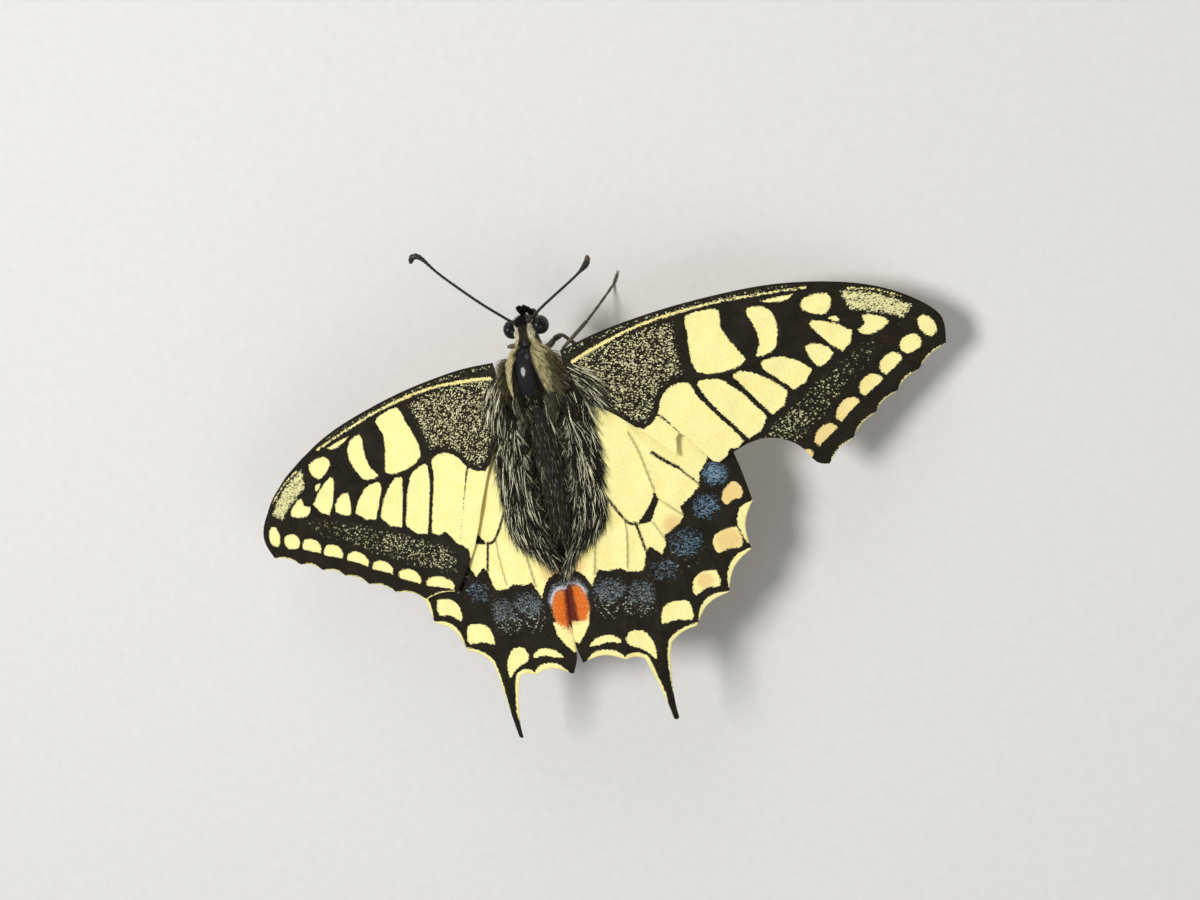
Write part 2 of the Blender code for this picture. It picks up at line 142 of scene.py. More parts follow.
def makePiece(name, points, faces, finish, replaced=(), numbers=None, plan=None):
    # points in the body's frame; faces as integer arrays, one row for each face
    mesh = bpy.data.meshes.new(name)
    places = (np.asarray(points) + bodyOrigin) * mm
    faces = facingOut(places, faces)
    corners = np.concatenate([rows.ravel() for rows in faces])
    sizes = np.concatenate([np.full(len(rows), rows.shape[1]) for rows in faces])
    mesh.vertices.add(len(places))
    mesh.vertices.foreach_set("co", places.ravel())
    mesh.loops.add(len(corners))
    mesh.loops.foreach_set("vertex_index", corners)
    mesh.polygons.add(len(sizes))
    mesh.polygons.foreach_set("loop_start", np.concatenate([[0], np.cumsum(sizes)[:-1]]))
    mesh.update(calc_edges=True)
    mesh.shade_smooth()
    for key, values in (numbers or {}).items():
        mesh.attributes.new(key, "FLOAT", "POINT").data.foreach_set("value", values)
    for key, spread in (plan or {}).items():
        mesh.uv_layers.new(name=key).uv.foreach_set("vector", spread[corners].ravel())
    mesh.materials.append(finish)
    piece = inScene(name, mesh)
    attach(piece, "root")
    if replaced:
        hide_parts(*replaced)
    print(f"{name}: {len(sizes)} faces")


def inScene(name, data):
    thing = bpy.data.objects.new(name, data)
    bpy.context.scene.collection.objects.link(thing)
    return thing


def facingOut(places, faces):
    # the cones from the origin to the faces add up to the volume, which is below zero where the
    # shape is inside out
    volume = 0.0
    for rows in faces:
        for turn in range(1, rows.shape[1] - 1):
            first, second, third = (places[rows[:, k]] for k in (0, turn, turn + 1))
            volume += np.einsum("ij,ij->", first, np.cross(second, third))
    return faces if volume > 0 else [rows[:, ::-1] for rows in faces]


def unit(vectors):
    return vectors / np.maximum(np.linalg.norm(vectors, axis=-1, keepdims=True), 1e-9)


def fade(values, start, end):
    # 0 at start, 1 at end, with a smooth S between
    t = np.clip((values - start) / (end - start), 0, 1)
    return t * t * (3 - 2 * t)


def smoothLine(points, steps=6, closed=False):
    # a Catmull-Rom line: each stretch is a cubic through its ends, steered by the points beside them
    knots = np.array(points, float)
    if closed:
        ends = np.vstack([knots[-1:], knots, knots[:2]])
    else:
        ends = np.vstack([knots[:1], knots, knots[-1:]])
    a, b, c, d = (ends[k : len(ends) - 3 + k, None] for k in range(4))
    t = (np.arange(steps) / steps)[None, :, None]
    cubic = 2 * b + (c - a) * t + (2 * a - 5 * b + 4 * c - d) * t**2 + (3 * b - a - 3 * c + d) * t**3
    line = (cubic / 2).reshape(-1, knots.shape[1])
    return line if closed else np.vstack([line, knots[-1:]])


def toLine(points, line):
    # distance to the nearest stretch, how far along the line that is from 0 to 1, and the nearest place
    gap = np.full(len(points), np.inf)
    along = np.zeros(len(points))
    nearest = np.zeros((len(points), 2))
    lengths = np.linalg.norm(np.diff(line, axis=0), axis=1)
    done = 0.0
    for start, end, length in zip(line, line[1:], lengths):
        if length < 1e-9:
            continue
        t = np.clip((points - start) @ (end - start) / length**2, 0, 1)
        place = start + t[:, None] * (end - start)
        here = np.linalg.norm(points - place, axis=1)
        closer = here < gap
        gap = np.where(closer, here, gap)
        along = np.where(closer, done + t * length, along)
        nearest = np.where(closer[:, None], place, nearest)
        done += length
    return gap, along / done, nearest


def closedLoop(outline):
    return np.vstack([outline, outline[:1]])


def depthIn(points, outline):
    # distance to the outline, positive inside, where a ray crosses it an odd number of times
    loop = closedLoop(outline)
    gap = toLine(points, loop)[0]
    crossed = np.zeros(len(points), bool)
    x, y = points.T
    for (ax, ay), (bx, by) in zip(loop, loop[1:]):
        if ay != by:
            crossed ^= ((ay > y) != (by > y)) & (x < ax + (y - ay) * (bx - ax) / (by - ay))
    return np.where(crossed, gap, -gap)


def ovalIn(points, centre, half, turn=0.0, flat=1.0):
    # about the distance inside an ellipse turned by so many degrees, cut straight at a share of its
    # half height below its middle
    c, s = math.cos(math.radians(turn)), math.sin(math.radians(turn))
    x, y = (points - np.array(centre)).T
    u = (x * c + y * s) / half[0]
    v = (y * c - x * s) / half[1]
    return np.minimum(1 - np.hypot(u, v), v + flat if flat < 1 else 9) * min(half)


def turnAcross(degrees):
    c, s = math.cos(math.radians(degrees)), math.sin(math.radians(degrees))
    return np.array([[c, 0, s], [0, 1, 0], [-s, 0, c]])


def turnFlat(degrees):
    c, s = math.cos(math.radians(degrees)), math.sin(math.radians(degrees))
    return np.array([[c, -s, 0], [s, c, 0], [0, 0, 1]])


# Wings. A wing is drawn from its hinge, x outwards and y forwards.
forewing = {
    "hinge": (3.73, 0.0, -0.2),
    "droop": 11.5,
    "sweep": {"right": 0.0, "left": -18.7},
    "stretch": {"right": 1.0, "left": 1.0},
    "costa": [(-0.1, 1.0), (4.6, 2.3), (12.0, 3.4), (20.0, 3.8)],
    "front": [(25.5, 3.4), (31.0, 2.2), (35.2, 0.3)],
    "apex": [(38.2, -2.3), (38.3, -5.2)],
    "tips": [(35.2, -7.3), (32.7, -9.1), (30.2, -10.9), (27.6, -13.0), (24.8, -15.2)],
    "rear": [(21.4, -17.4), (17.1, -18.3)],
    "inner": [(12.3, -14.6), (8.2, -10.2), (4.6, -6.7), (1.4, -4.3), (0.5, -2.4)],
    "torn": [
        (23.6, -14.8), (22.5, -13.2), (21.3, -12.2), (19.3, -11.5), (17.1, -11.7), (14.8, -12.6),
        (13.3, -12.9), (10.4, -9.4), (9.8, -11.9),
    ],
    "scallop": 0.3,
    "camber": {"height": 0.45, "middle": -1.0, "reach": 5.5, "root": 6},
    # veins that stay dark across the pale patches, with their half widths
    "darkVeins": {"media3": 0.17, "cubitus1": 0.19, "cubitus2": 0.17, "media2": 0.17, "cellRear": 0.14},
    "veins": {
        "subcosta": [(0.5, 0.9), (6.0, 2.0), (13.0, 2.95), (20.0, 3.1), (26.0, 2.9)],
        "radius": [(0.5, 0.1), (5.0, 1.0), (12.0, 2.25), (18.0, 2.05), (24.5, 1.9), (31.0, 1.9)],
        "cellFront": [(14.0, 2.2), (19.5, 1.6), (22.0, 0.9), (25.0, 0.1), (29.0, -0.4), (33.0, -0.6)],
        "radius3": [(25.0, 0.1), (29.5, 0.9), (35.2, 0.3)],
        "radius4": [(28.5, -0.4), (31.5, -0.9), (34.0, -1.9), (38.2, -3.6)],
        "radius5": [(22.2, 0.3), (25.4, -0.9), (29.7, -2.3), (35.2, -7.3)],
        "cellEnd": [(20.6, 1.3), (22.4, -0.4), (22.0, -2.4), (19.4, -3.6)],
        "media1": [(22.1, -1.6), (25.0, -2.2), (27.7, -4.1), (32.7, -9.1)],
        "media2": [(20.8, -3.2), (23.0, -3.6), (25.3, -5.4), (30.2, -10.9)],
        "cellRear": [(0.5, -0.8), (3.5, -1.8), (8.1, -2.9), (12.8, -4.1), (16.4, -4.3), (19.4, -3.6)],
        "media3": [(19.0, -3.8), (20.2, -5.1), (22.3, -7.1), (27.6, -13.0)],
        "cubitus1": [(16.1, -4.4), (17.0, -5.4), (19.8, -9.3), (24.8, -15.2)],
        "cubitus2": [(12.6, -4.3), (13.6, -6.6), (17.2, -11.5), (21.4, -17.4)],
        "anal": [(0.8, -1.4), (5.0, -4.6), (8.7, -7.3), (10.2, -9.1), (14.1, -14.0), (17.1, -18.3)],
    },
    # pale patches between the veins, from the wing's root outwards
    "patches": {
        "cellInner": [
            (13.2, 2.2), (15.0, 2.45), (16.6, 2.2), (16.5, 0.6), (17.1, -1.0), (18.1, -2.6),
            (18.2, -3.55), (15.8, -4.05), (13.3, -3.55), (13.0, -1.4), (13.1, 0.6),
        ],
        "cellOuter": [
            (19.4, 1.8), (20.8, 1.8), (21.8, 1.0), (22.1, -0.4), (21.8, -2.1), (21.0, -3.0),
            (19.5, -3.1), (20.1, -1.9), (19.9, -0.2), (19.5, 0.9),
        ],
        "frontStreak": [(20.9, 2.3), (24.2, 2.35), (22.9, 1.85)],
        "front": [(25.2, 1.85), (27.5, 1.9), (27.8, 1.0), (27.4, 0.15), (26.7, -0.15), (24.9, 0.65)],
        "chip": [(27.2, -0.55), (28.1, -0.6), (28.2, -1.15)],
        "band1": [(30.6, -0.9), (32.0, -1.2), (33.1, -2.05), (31.1, -3.0), (29.9, -2.3), (30.8, -1.8)],
        "band2": [(25.3, -0.75), (26.5, -0.75), (29.4, -2.25), (28.1, -4.1), (26.1, -2.1)],
        "band3": [(24.5, -3.0), (25.9, -2.95), (27.2, -4.1), (25.7, -5.3), (24.9, -4.4)],
        "band4": [(20.4, -3.6), (22.3, -3.65), (24.75, -5.4), (22.6, -7.1), (19.9, -4.3)],
        "band5": [(17.2, -4.4), (18.6, -4.5), (22.0, -7.1), (20.1, -9.25), (18.0, -6.8), (16.9, -4.9)],
        "band6": [
            (13.3, -4.55), (15.3, -4.7), (16.7, -5.8), (19.6, -9.1), (17.2, -11.3), (14.8, -8.1),
            (13.4, -5.6),
        ],
        "band7": [
            (10.3, -4.6), (12.2, -4.5), (13.0, -6.2), (16.7, -11.3), (15.1, -12.0), (14.4, -13.6),
            (13.4, -14.9), (14.2, -17.0), (12.9, -15.8), (8.2, -10.6), (5.6, -8.0), (7.0, -8.4),
            (8.6, -7.2), (9.1, -5.8),
        ],
    },
    # pale spots inside the outer margin: middle, half sizes, turn, and how far out they reach, up to 1
    "spots": [
        ((36.75, -3.1), (1.15, 0.75), -62, 1.0),
        ((34.85, -4.6), (1.1, 0.9), 20, 0.9),
        ((32.6, -6.2), (1.25, 0.95), 35, 0.55),
        ((30.3, -8.0), (1.3, 0.95), 33, 0.45),
        ((27.6, -10.0), (1.4, 0.9), 38, 0.4),
        ((25.0, -12.2), (1.35, 0.9), 36, 0.35),
        ((22.2, -14.5), (1.45, 0.95), 36, 0.35),
        ((18.8, -16.7), (1.8, 0.85), 30, 0.4),
    ],
    "spotTan": {"right": 0.8, "left": 0.1},
    "pinstripes": [
        ([(1.0, -0.35), (3.0, 0.5), (8.3, 2.1), (14.5, 2.9), (20.0, 3.0), (25.6, 2.8)], 0.16),
        ([(29.6, 2.0), (32.4, 1.35), (34.7, 0.25)], 0.07),
    ],
    "baseDust": [
        (0.4, -1.8), (0.8, 0.2), (4.0, 1.35), (8.0, 2.0), (12.0, 2.3), (12.1, -3.7), (10.2, -4.2),
        (9.0, -5.2), (8.4, -6.8), (6.9, -8.4), (4.0, -6.0),
    ],
    "bandDust": [
        (14.9, -14.8), (16.2, -12.8), (19.5, -10.4), (22.2, -8.5), (25.0, -6.7), (28.0, -4.7),
        (30.3, -3.4), (34.6, -2.1), (34.0, -3.7), (31.6, -5.1), (29.1, -7.1), (26.6, -9.1),
        (23.9, -11.4), (21.0, -13.6), (18.1, -15.6), (15.8, -16.6),
    ],
    "tipDust": [
        (28.9, 1.8), (31.5, 1.3), (34.2, 0.2), (35.6, -0.9), (34.6, -1.9), (32.4, -0.9), (29.5, -0.1),
    ],
}

hindwing = {
    "hinge": (3.38, -2.66, -0.67),
    "droop": 12.0,
    "sweep": {"right": 0.0, "left": 5.0},
    "stretch": {"right": 1.0, "left": 1.03},
    "costa": [(0.2, 0.4), (3.6, 0.3), (8.6, -1.4), (12.6, -4.6), (15.4, -9.0)],
    "tips": [(16.7, -15.0), (15.7, -19.9), (12.6, -24.0), (8.7, -26.9)],
    "tailRoot": {"outer": (5.4, -28.6), "inner": (2.6, -29.5)},
    "tailTip": (4.55, -36.9),
    "tailTipHalf": 0.28,
    "tailTaper": 1.67,
    "rear": {"right": [(0.7, -29.3), (-4.0, -29.1)], "left": [(0.7, -29.3), (-3.6, -29.2)]},
    "inner": {
        "right": [
            (-4.45, -27.0), (-4.4, -25.0), (-4.3, -23.0), (-4.1, -20.5), (-3.87, -19.5), (-3.67, -18.7),
            (-3.5, -18.1), (-2.9, -17.5), (-2.1, -16.6), (-1.3, -14.5), (-0.95, -8.0),
        ],
        "left": [
            (-4.1, -27.2), (-3.95, -23.6), (-3.97, -19.7), (-4.1, -18.7), (-4.2, -17.9), (-4.1, -17.3),
            (-3.7, -16.75), (-3.1, -16.0), (-2.5, -14.6), (-1.6, -8.0),
        ],
    },
    "rootRear": (-0.8, -2.0),
    "scallop": 0.7,
    "tailDrop": 0.02,
    "tailDropFrom": 27.5,
    "foldDrop": 0.06,
    "veins": {
        "costa": [(0.6, 0.0), (5.0, -1.0), (10.0, -4.0), (14.2, -9.5), (16.7, -15.0)],
        "cellFront": [(0.8, -1.0), (4.5, -3.6), (7.5, -8.4), (9.8, -10.3), (11.7, -12.5), (15.7, -19.9)],
        "cellMiddle": [(5.2, -5.2), (6.1, -8.0), (6.9, -12.3), (7.7, -13.4), (9.5, -15.0), (12.6, -24.0)],
        "media2": [(6.2, -15.5), (7.2, -17.4), (8.1, -20.0), (8.7, -26.9)],
        "cellRear": [(0.3, -3.5), (1.4, -10.7), (2.0, -12.2), (3.5, -14.9), (4.4, -15.4)],
        "media3": [(4.4, -15.4), (4.9, -17.9), (5.2, -22.0), (4.6, -29.0), (3.9, -36.0)],
        "cubitus1": [(3.4, -14.9), (2.7, -19.6), (2.0, -23.0), (0.7, -29.3)],
        "cubitus2": [(2.0, -12.3), (0.1, -16.5), (-1.1, -21.0), (-3.6, -29.2)],
        "anal": [(-0.5, -3.0), (-0.4, -9.0), (-1.2, -15.0), (-2.8, -20.0)],
    },
    "yellow": [
        (1.3, -1.9), (1.5, -3.4), (1.8, -5.3), (1.7, -10.7), (1.9, -12.9), (0.3, -14.2), (-1.5, -15.5),
        (-2.8, -16.5), (-4.6, -17.3), (-4.6, -20.4), (-3.8, -20.0), (-3.0, -19.5), (-2.1, -19.7),
        (-1.4, -21.0), (-0.75, -20.0), (-0.4, -19.4), (0.7, -19.7), (2.0, -19.6), (2.6, -20.1),
        (4.1, -20.3), (4.5, -19.7), (4.9, -18.4), (5.4, -17.9), (6.5, -18.9), (7.1, -17.9), (7.1, -17.0),
        (8.8, -16.1), (9.4, -15.4), (9.3, -14.3), (10.5, -13.5), (11.6, -12.5), (11.8, -11.2),
        (12.6, -10.4), (13.0, -9.7), (13.6, -8.6), (12.2, -5.4), (8.5, -2.5), (4.0, -1.0),
    ],
    # dark lines over the yellow: points, half width, and how dark
    "lines": [
        ([(0.3, -3.5), (1.4, -10.7), (2.0, -12.2), (3.5, -14.9), (4.4, -15.3)], 0.13, 1.0),
        ([(7.4, -8.3), (8.6, -9.4), (9.8, -10.3)], 0.15, 1.0),
        ([(9.8, -10.3), (11.7, -12.5)], 0.08, 1.0),
        ([(4.4, -15.3), (4.9, -18.2)], 0.12, 1.0),
        ([(3.4, -14.9), (3.2, -17.0), (2.7, -19.7)], 0.08, 0.9),
        ([(2.0, -12.5), (0.1, -16.0), (-0.8, -19.8)], 0.12, 0.8),
        ([(5.4, -5.8), (6.1, -8.0), (6.5, -10.0), (6.95, -12.3)], 0.09, 0.9),
        ([(6.2, -15.5), (7.1, -17.4)], 0.09, 0.8),
        ([(7.2, -13.2), (8.4, -14.3), (9.4, -15.3)], 0.08, 0.8),
    ],
    "cellBar": [(6.9, -12.3), (7.25, -13.2), (6.0, -15.4), (4.4, -15.5), (5.0, -14.9), (6.1, -13.8)],
    "lunules": [
        [
            (13.6, -14.3), (14.0, -13.4), (15.0, -12.7), (15.6, -13.1), (15.9, -13.9), (15.5, -14.6),
            (14.8, -14.5), (14.0, -15.0),
        ],
        [
            (11.9, -18.9), (12.2, -17.9), (13.3, -17.5), (14.6, -17.4), (14.9, -19.1), (14.5, -19.6),
            (13.4, -19.5), (12.3, -19.8),
        ],
        [
            (9.0, -22.9), (9.3, -22.0), (10.1, -21.5), (11.2, -21.4), (11.8, -21.6), (11.8, -23.2),
            (10.4, -23.15), (9.1, -23.8),
        ],
        [
            (5.15, -25.8), (5.35, -24.9), (6.0, -24.2), (7.3, -24.0), (8.3, -24.3), (8.5, -25.3),
            (8.3, -26.2), (7.0, -26.0), (5.3, -26.1),
        ],
        [
            (1.1, -27.3), (1.4, -26.6), (2.1, -26.35), (3.0, -26.6), (3.6, -27.3), (3.95, -28.4),
            (3.85, -29.8), (3.2, -29.0), (2.3, -28.3), (1.4, -27.9),
        ],
        [
            (-2.85, -27.3), (-2.2, -26.65), (-1.2, -26.4), (-0.2, -26.55), (0.5, -27.1), (0.4, -27.4),
            (-0.9, -27.15), (-2.0, -27.35),
        ],
    ],
    # how wide the pale edging is at five places along each bay of the margin
    "edging": [
        (0.1, 0.95, 0.9, 0.5, 0.1),
        (0.15, 0.5, 0.6, 0.42, 0.15),
        (0.1, 0.45, 0.6, 0.4, 0.1),
        (0.3, 0.42, 0.25, 0.1, -0.5),
        (-0.3, 0.22, 0.3, 0.42, 0.45),
        (0.2, 0.6, 0.65, 0.55, 0.1),
    ],
    # blue clouds: middle, half sizes, strength
    "clouds": [
        ((13.4, -11.6), (1.5, 1.5), 0.85),
        ((11.9, -14.8), (1.8, 1.6), 0.58),
        ((9.2, -18.2), (2.2, 1.9), 0.42),
        ((6.4, -20.6), (1.9, 1.4), 0.42),
        ((3.6, -22.6), (2.0, 1.7), 0.5),
        ((0.4, -21.7), (2.1, 1.7), 0.6),
    ],
    "greyClouds": [
        ((3.2, -23.6), (2.4, 2.0), 0.16),
        ((0.0, -23.2), (2.0, 2.0), 0.16),
        ((8.5, -19.8), (2.2, 1.6), 0.1),
    ],
    "eyespot": {"right": ((-3.6, -22.8), (1.65, 2.45)), "left": ((-3.5, -22.3), (1.4, 2.3))},
    "eyespotCap": {"right": ((-3.5, -22.3), (1.8, 2.65)), "left": ((-3.4, -21.8), (1.6, 2.6))},
    "eyespotTip": [
        (-4.6, -23.8), (-2.15, -23.6), (-2.5, -25.0), (-3.3, -26.2), (-4.0, -27.0), (-4.6, -26.6),
    ],
    "tan": [
        ((14.8, -13.9), 2.0),
        ((13.5, -18.6), 2.0),
        ((10.4, -22.4), 1.2),
        ((8.2, -16.2), 1.5),
        ((-2.9, -18.4), 1.9),
    ],
    "spotTan": {"right": 1.0, "left": 0.15},
}
wingMesh = {
    "spacing": 0.15,
    "thickness": 0.12,
    "rim": 0.05,
    "rimWidth": 0.5,
    "veinRise": 0.075,
    "veinHalf": 0.17,
    "pleat": 0.07,
    "pleatReach": 1.6,
    "swell": 0.07,
    "ripple": 0.03,
}


wingSquare = 50  # the side of the square that a wing's markings are unwrapped on
wingNumbers = ("pale", "dust", "blue", "rust", "tan", "lines", "slate")


def scalloped(tips, depth, steps=8):
    # from tip to tip with a hollow shaped as half a sine between
    t = np.arange(steps)[:, None] / steps
    line = []
    for start, end in zip(tips, tips[1:]):
        along = np.array(end) - np.array(start)
        inwards = unit(np.array([along[1], -along[0]]))
        line.append(np.array(start) + along * t + inwards * depth * np.sin(math.pi * t))
    return np.vstack(line)


def forewingOutline(torn):
    plan = forewing
    front = plan["costa"] + plan["front"]
    line = smoothLine(front + plan["apex"])[:-1]
    tips = plan["apex"][-1:] + plan["tips"]
    if torn:
        inner = [point for point in plan["inner"] if point[0] < plan["torn"][-1][0] - 1.0]
        frayed = smoothLine(plan["tips"][-1:] + plan["torn"], 3)
        parts = [line, scalloped(tips, plan["scallop"]), frayed, smoothLine(inner)]
    else:
        tips = tips + plan["rear"]
        parts = [line, scalloped(tips, plan["scallop"]), smoothLine(plan["rear"][-1:] + plan["inner"])]
    return np.vstack(parts)


def tailSides(plan):
    # out along the outer side of the tail, round its tip and back
    outer, inner = (np.array(plan["tailRoot"][key]) for key in ("outer", "inner"))
    root, tip = (outer + inner) / 2, np.array(plan["tailTip"])
    ahead = unit(tip - root)
    across = np.array([-ahead[1], ahead[0]])
    narrow, wide = plan["tailTipHalf"], np.linalg.norm(outer - inner) / 2
    centre = tip - ahead * narrow
    t = (np.arange(1, 13) / 13)[:, None]
    half = narrow + (wide - narrow) * (1 - t) ** plan["tailTaper"]
    middle = root + (centre - root) * t
    turn = np.linspace(0, math.pi, 11)[:, None]
    cap = centre + narrow * (across * np.cos(turn) + ahead * np.sin(turn))
    return middle + across * half, cap, (middle - across * half)[::-1]


def hindwingBays(side):
    # the margin in stretches, from vein end to vein end, with the tail's two sides in their stretches
    plan = hindwing
    tips, rear, depth = plan["tips"], plan["rear"][side], plan["scallop"]
    outer, cap, inner = tailSides(plan)
    bays = [scalloped([a, b], depth) for a, b in zip(tips, tips[1:])]
    bays.append(np.vstack([scalloped([tips[-1], plan["tailRoot"]["outer"]], depth / 2), outer]))
    bays.append(np.vstack([inner, scalloped([plan["tailRoot"]["inner"], rear[0]], depth / 3)]))
    bays.append(scalloped(rear, depth))
    return bays, cap


def innerMargin(side):
    plan = hindwing
    return smoothLine([plan["rear"][side][-1], *plan["inner"][side], plan["rootRear"]])


def hindwingOutline(side):
    plan = hindwing
    bays, cap = hindwingBays(side)
    front = smoothLine([*plan["costa"], plan["tips"][0]])[:-1]
    return np.vstack([front, *bays[:4], cap, *bays[4:], innerMargin(side)])


def clippedGrid(outline, spacing):
    # square cells whose middle is inside the outline, with the rim's corners moved onto the outline
    start = outline.min(0) - spacing
    counts = np.ceil((outline.max(0) - start) / spacing).astype(int) + 2
    x = start[0] + spacing * np.arange(counts[0])
    y = start[1] + spacing * np.arange(counts[1])
    points = np.stack(np.meshgrid(x, y, indexing="ij"), -1).reshape(-1, 2)
    index = np.arange(len(points)).reshape(counts)
    cells = np.stack([index[:-1, :-1], index[1:, :-1], index[1:, 1:], index[:-1, 1:]], -1).reshape(-1, 4)
    cells = cells[depthIn(points[cells[:, 0]] + spacing / 2, outline) > 0]
    used, cells = np.unique(cells, return_inverse=True)
    cells = cells.reshape(-1, 4)
    points = points[used]
    edges = np.concatenate([cells[:, [0, 1]], cells[:, [1, 2]], cells[:, [2, 3]], cells[:, [3, 0]]])
    _, first, times = np.unique(np.sort(edges, axis=1), axis=0, return_index=True, return_counts=True)
    rimEdges = edges[first[times == 1]]
    rim = np.unique(rimEdges)
    points[rim] = toLine(points[rim], closedLoop(outline))[2]
    return points, cells, rimEdges


def forewingMarks(points, side, below):
    # each number of wingNumbers at each point; pale and rust are depths inside their patches
    plan = forewing
    vein = nearVein(points, plan)
    pale = np.full(len(points), -9.0)
    tan = np.zeros(len(points))
    for patch in plan["patches"].values():
        pale = np.maximum(pale, depthIn(points, smoothLine(patch, 2, closed=True)))
    for name, half in plan["darkVeins"].items():
        gap, along, _ = toLine(points, smoothLine(plan["veins"][name], 4))
        pale = np.minimum(pale, gap - half * (1.6 - 0.7 * along))
    for middle, half, turn, flat in plan["spots"]:
        spot = ovalIn(points, middle, half, turn, flat)
        pale = np.maximum(pale, spot)
        tan = np.maximum(tan, plan["spotTan"][side] * (spot > -0.3) * fade(points[:, 0], 34, 23))
    for line, half in plan["pinstripes"]:
        gap, along, _ = toLine(points, smoothLine(line, 4))
        stripe = half * (1 - 0.5 * along) - gap
        pale = np.maximum(pale, stripe)
        tan = np.maximum(tan, 0.3 * (stripe > -0.1) * fade(points[:, 0], 18, 8))
    tips = plan["apex"][-1:] + plan["tips"] + plan["rear"]
    for start, end in zip(tips, tips[1:]):
        gap, along, _ = toLine(points, scalloped([start, end], plan["scallop"]))
        pale = np.maximum(pale, 0.13 * np.sin(math.pi * along) ** 0.5 - gap)
    anal = toLine(points, smoothLine(plan["veins"]["anal"], 4))
    pale = np.minimum(pale, anal[0] - 0.13 * fade(anal[1], 0.62, 0.35))
    # the dust is thinner beside the veins, and thickest at the wing's tip
    inBase = depthIn(points, plan["baseDust"])
    band = fade(depthIn(points, plan["bandDust"]), -0.3, 0.8)
    between = fade(vein, 0.05, 0.3)
    rearwards = fade(points[:, 0], 34, 20)
    dust = 0.33 * fade(inBase, -0.2, 0.9) * (0.6 + 0.4 * between)
    dust = np.maximum(dust, (0.07 + 0.14 * rearwards) * band * (0.75 + 0.25 * between))
    dust = np.maximum(dust, 0.85 * fade(depthIn(points, plan["tipDust"]), -0.25, 0.3))
    costa = 0.3 - np.abs(points[:, 1] - (toCosta(points[:, 0]) - 0.45))
    dust = np.maximum(dust, 0.17 * fade(costa, 0.0, 0.2) * fade(points[:, 0], 30, 16))
    if below:
        # underneath, the cell is pale with dusky streaks and the dark band is more thickly dusted
        pale = np.maximum(pale, np.minimum(inBase, vein - 0.12))
        dust = np.maximum(dust, 0.6 * band * between)
    zero = np.zeros(len(points))
    return pale, dust, zero, zero - 9, tan, zero, zero


def toCosta(x):
    # the height of the leading edge at x
    line = smoothLine(forewing["costa"] + forewing["front"] + forewing["apex"])
    rising = line[np.concatenate([[True], np.diff(line[:, 0]) > 0])]
    return np.interp(x, rising[:, 0], rising[:, 1])


def cloudy(points, clouds, start, end):
    # soft ovals, each as strong as its own number inside
    shares = [
        strength * fade(ovalIn(points, middle, half) / min(half), start, end)
        for middle, half, strength in clouds
    ]
    return np.maximum.reduce(shares)


def hindwingMarks(points, side, below):
    plan = hindwing
    pale = np.minimum(depthIn(points, plan["yellow"]), -depthIn(points, plan["cellBar"]))
    lines = np.zeros(len(points))
    for line, half, dark in plan["lines"]:
        gap = toLine(points, smoothLine(line, 4))[0]
        if dark == 1.0:
            pale = np.minimum(pale, gap - half)
        lines = np.maximum(lines, dark * fade(gap, half * 1.6, half * 0.6))
    for patch in plan["lunules"]:
        pale = np.maximum(pale, depthIn(points, smoothLine(patch, 2, closed=True)))
    for bay, width in zip(hindwingBays(side)[0], plan["edging"]):
        gap, along, _ = toLine(points, bay)
        pale = np.maximum(pale, np.interp(along, np.linspace(0, 1, 5), width) - gap)
    blue = cloudy(points, plan["clouds"], -0.15, 0.6)
    dust = cloudy(points, plan["greyClouds"], 0.0, 0.5)
    # the eyespot: black rim, lilac cap, rusty core with painted shade darkening it towards the abdomen, where
    # the two hindwings meet, pale tip
    rust = ovalIn(points, *plan["eyespot"][side])
    inCap = ovalIn(points, *plan["eyespotCap"][side])
    pale = np.where(inCap > -0.45, np.minimum(pale, -0.2), pale)
    cap = fade(inCap, 0.0, 0.12) * fade(rust, 0.35, 0.1)
    cap = cap * fade(points[:, 1], -22.8, -21.4) * (0.45 + 0.55 * fade(rust, -0.3, 0.1))
    pale = np.maximum(pale, depthIn(points, plan["eyespotTip"]))
    rust = np.minimum(rust, fade(points[:, 1], -25.2, -24.2) - 0.5)
    # painted shade: darker red on the eyespot's inner side, along the seam where the two hindwings meet
    seamShade = fade(points[:, 0], -3.05, -3.9)
    tan = np.zeros(len(points))
    for place, reach in plan["tan"]:
        share = plan["spotTan"][side] if place[0] > 0 else 1.0
        gap = np.linalg.norm(points - np.array(place), axis=1)
        tan = np.maximum(tan, share * fade(gap, reach, reach * 0.4))
    inner = np.array(plan["yellow"][1:9])
    hairy = fade(toLine(points, inner)[0], 2.2, 0.2) * (pale < 0) * (points[:, 1] > -18)
    dust = np.maximum(dust, 0.3 * hairy)
    if below:
        dust = np.maximum(dust, 0.35 * fade(pale, 0.0, -0.3) * fade(nearVein(points, plan), 0.1, 0.5))
        blue = blue * 0.7
    blue = blue + 1.5 * cap
    # the tan number also carries the eyespot's painted shade
    tan = tan + seamShade * (rust > -0.3)
    slate = fade(points[:, 0], 9.5, 4.5)
    return pale, dust, blue, rust, tan, lines, slate


def nearVein(points, plan):
    gaps = [toLine(points, smoothLine(vein, 3))[0] for vein in plan["veins"].values()]
    return np.minimum.reduce(gaps)


def forewingHeight(points):
    # a low ridge behind the leading edge
    ridge, out = forewing["camber"], np.maximum(points[:, 0], 0)
    profile = np.exp(-(((points[:, 1] - ridge["middle"]) / ridge["reach"]) ** 2))
    return ridge["height"] * profile * out / (out + ridge["root"])


def hindwingHeight(points):
    # level, falling at the tail and beside the abdomen
    x, y = points.T
    fold = hindwing["foldDrop"] * np.maximum(0, -x) ** 2
    return -hindwing["tailDrop"] * np.maximum(0, -y - hindwing["tailDropFrom"]) ** 2 - fold


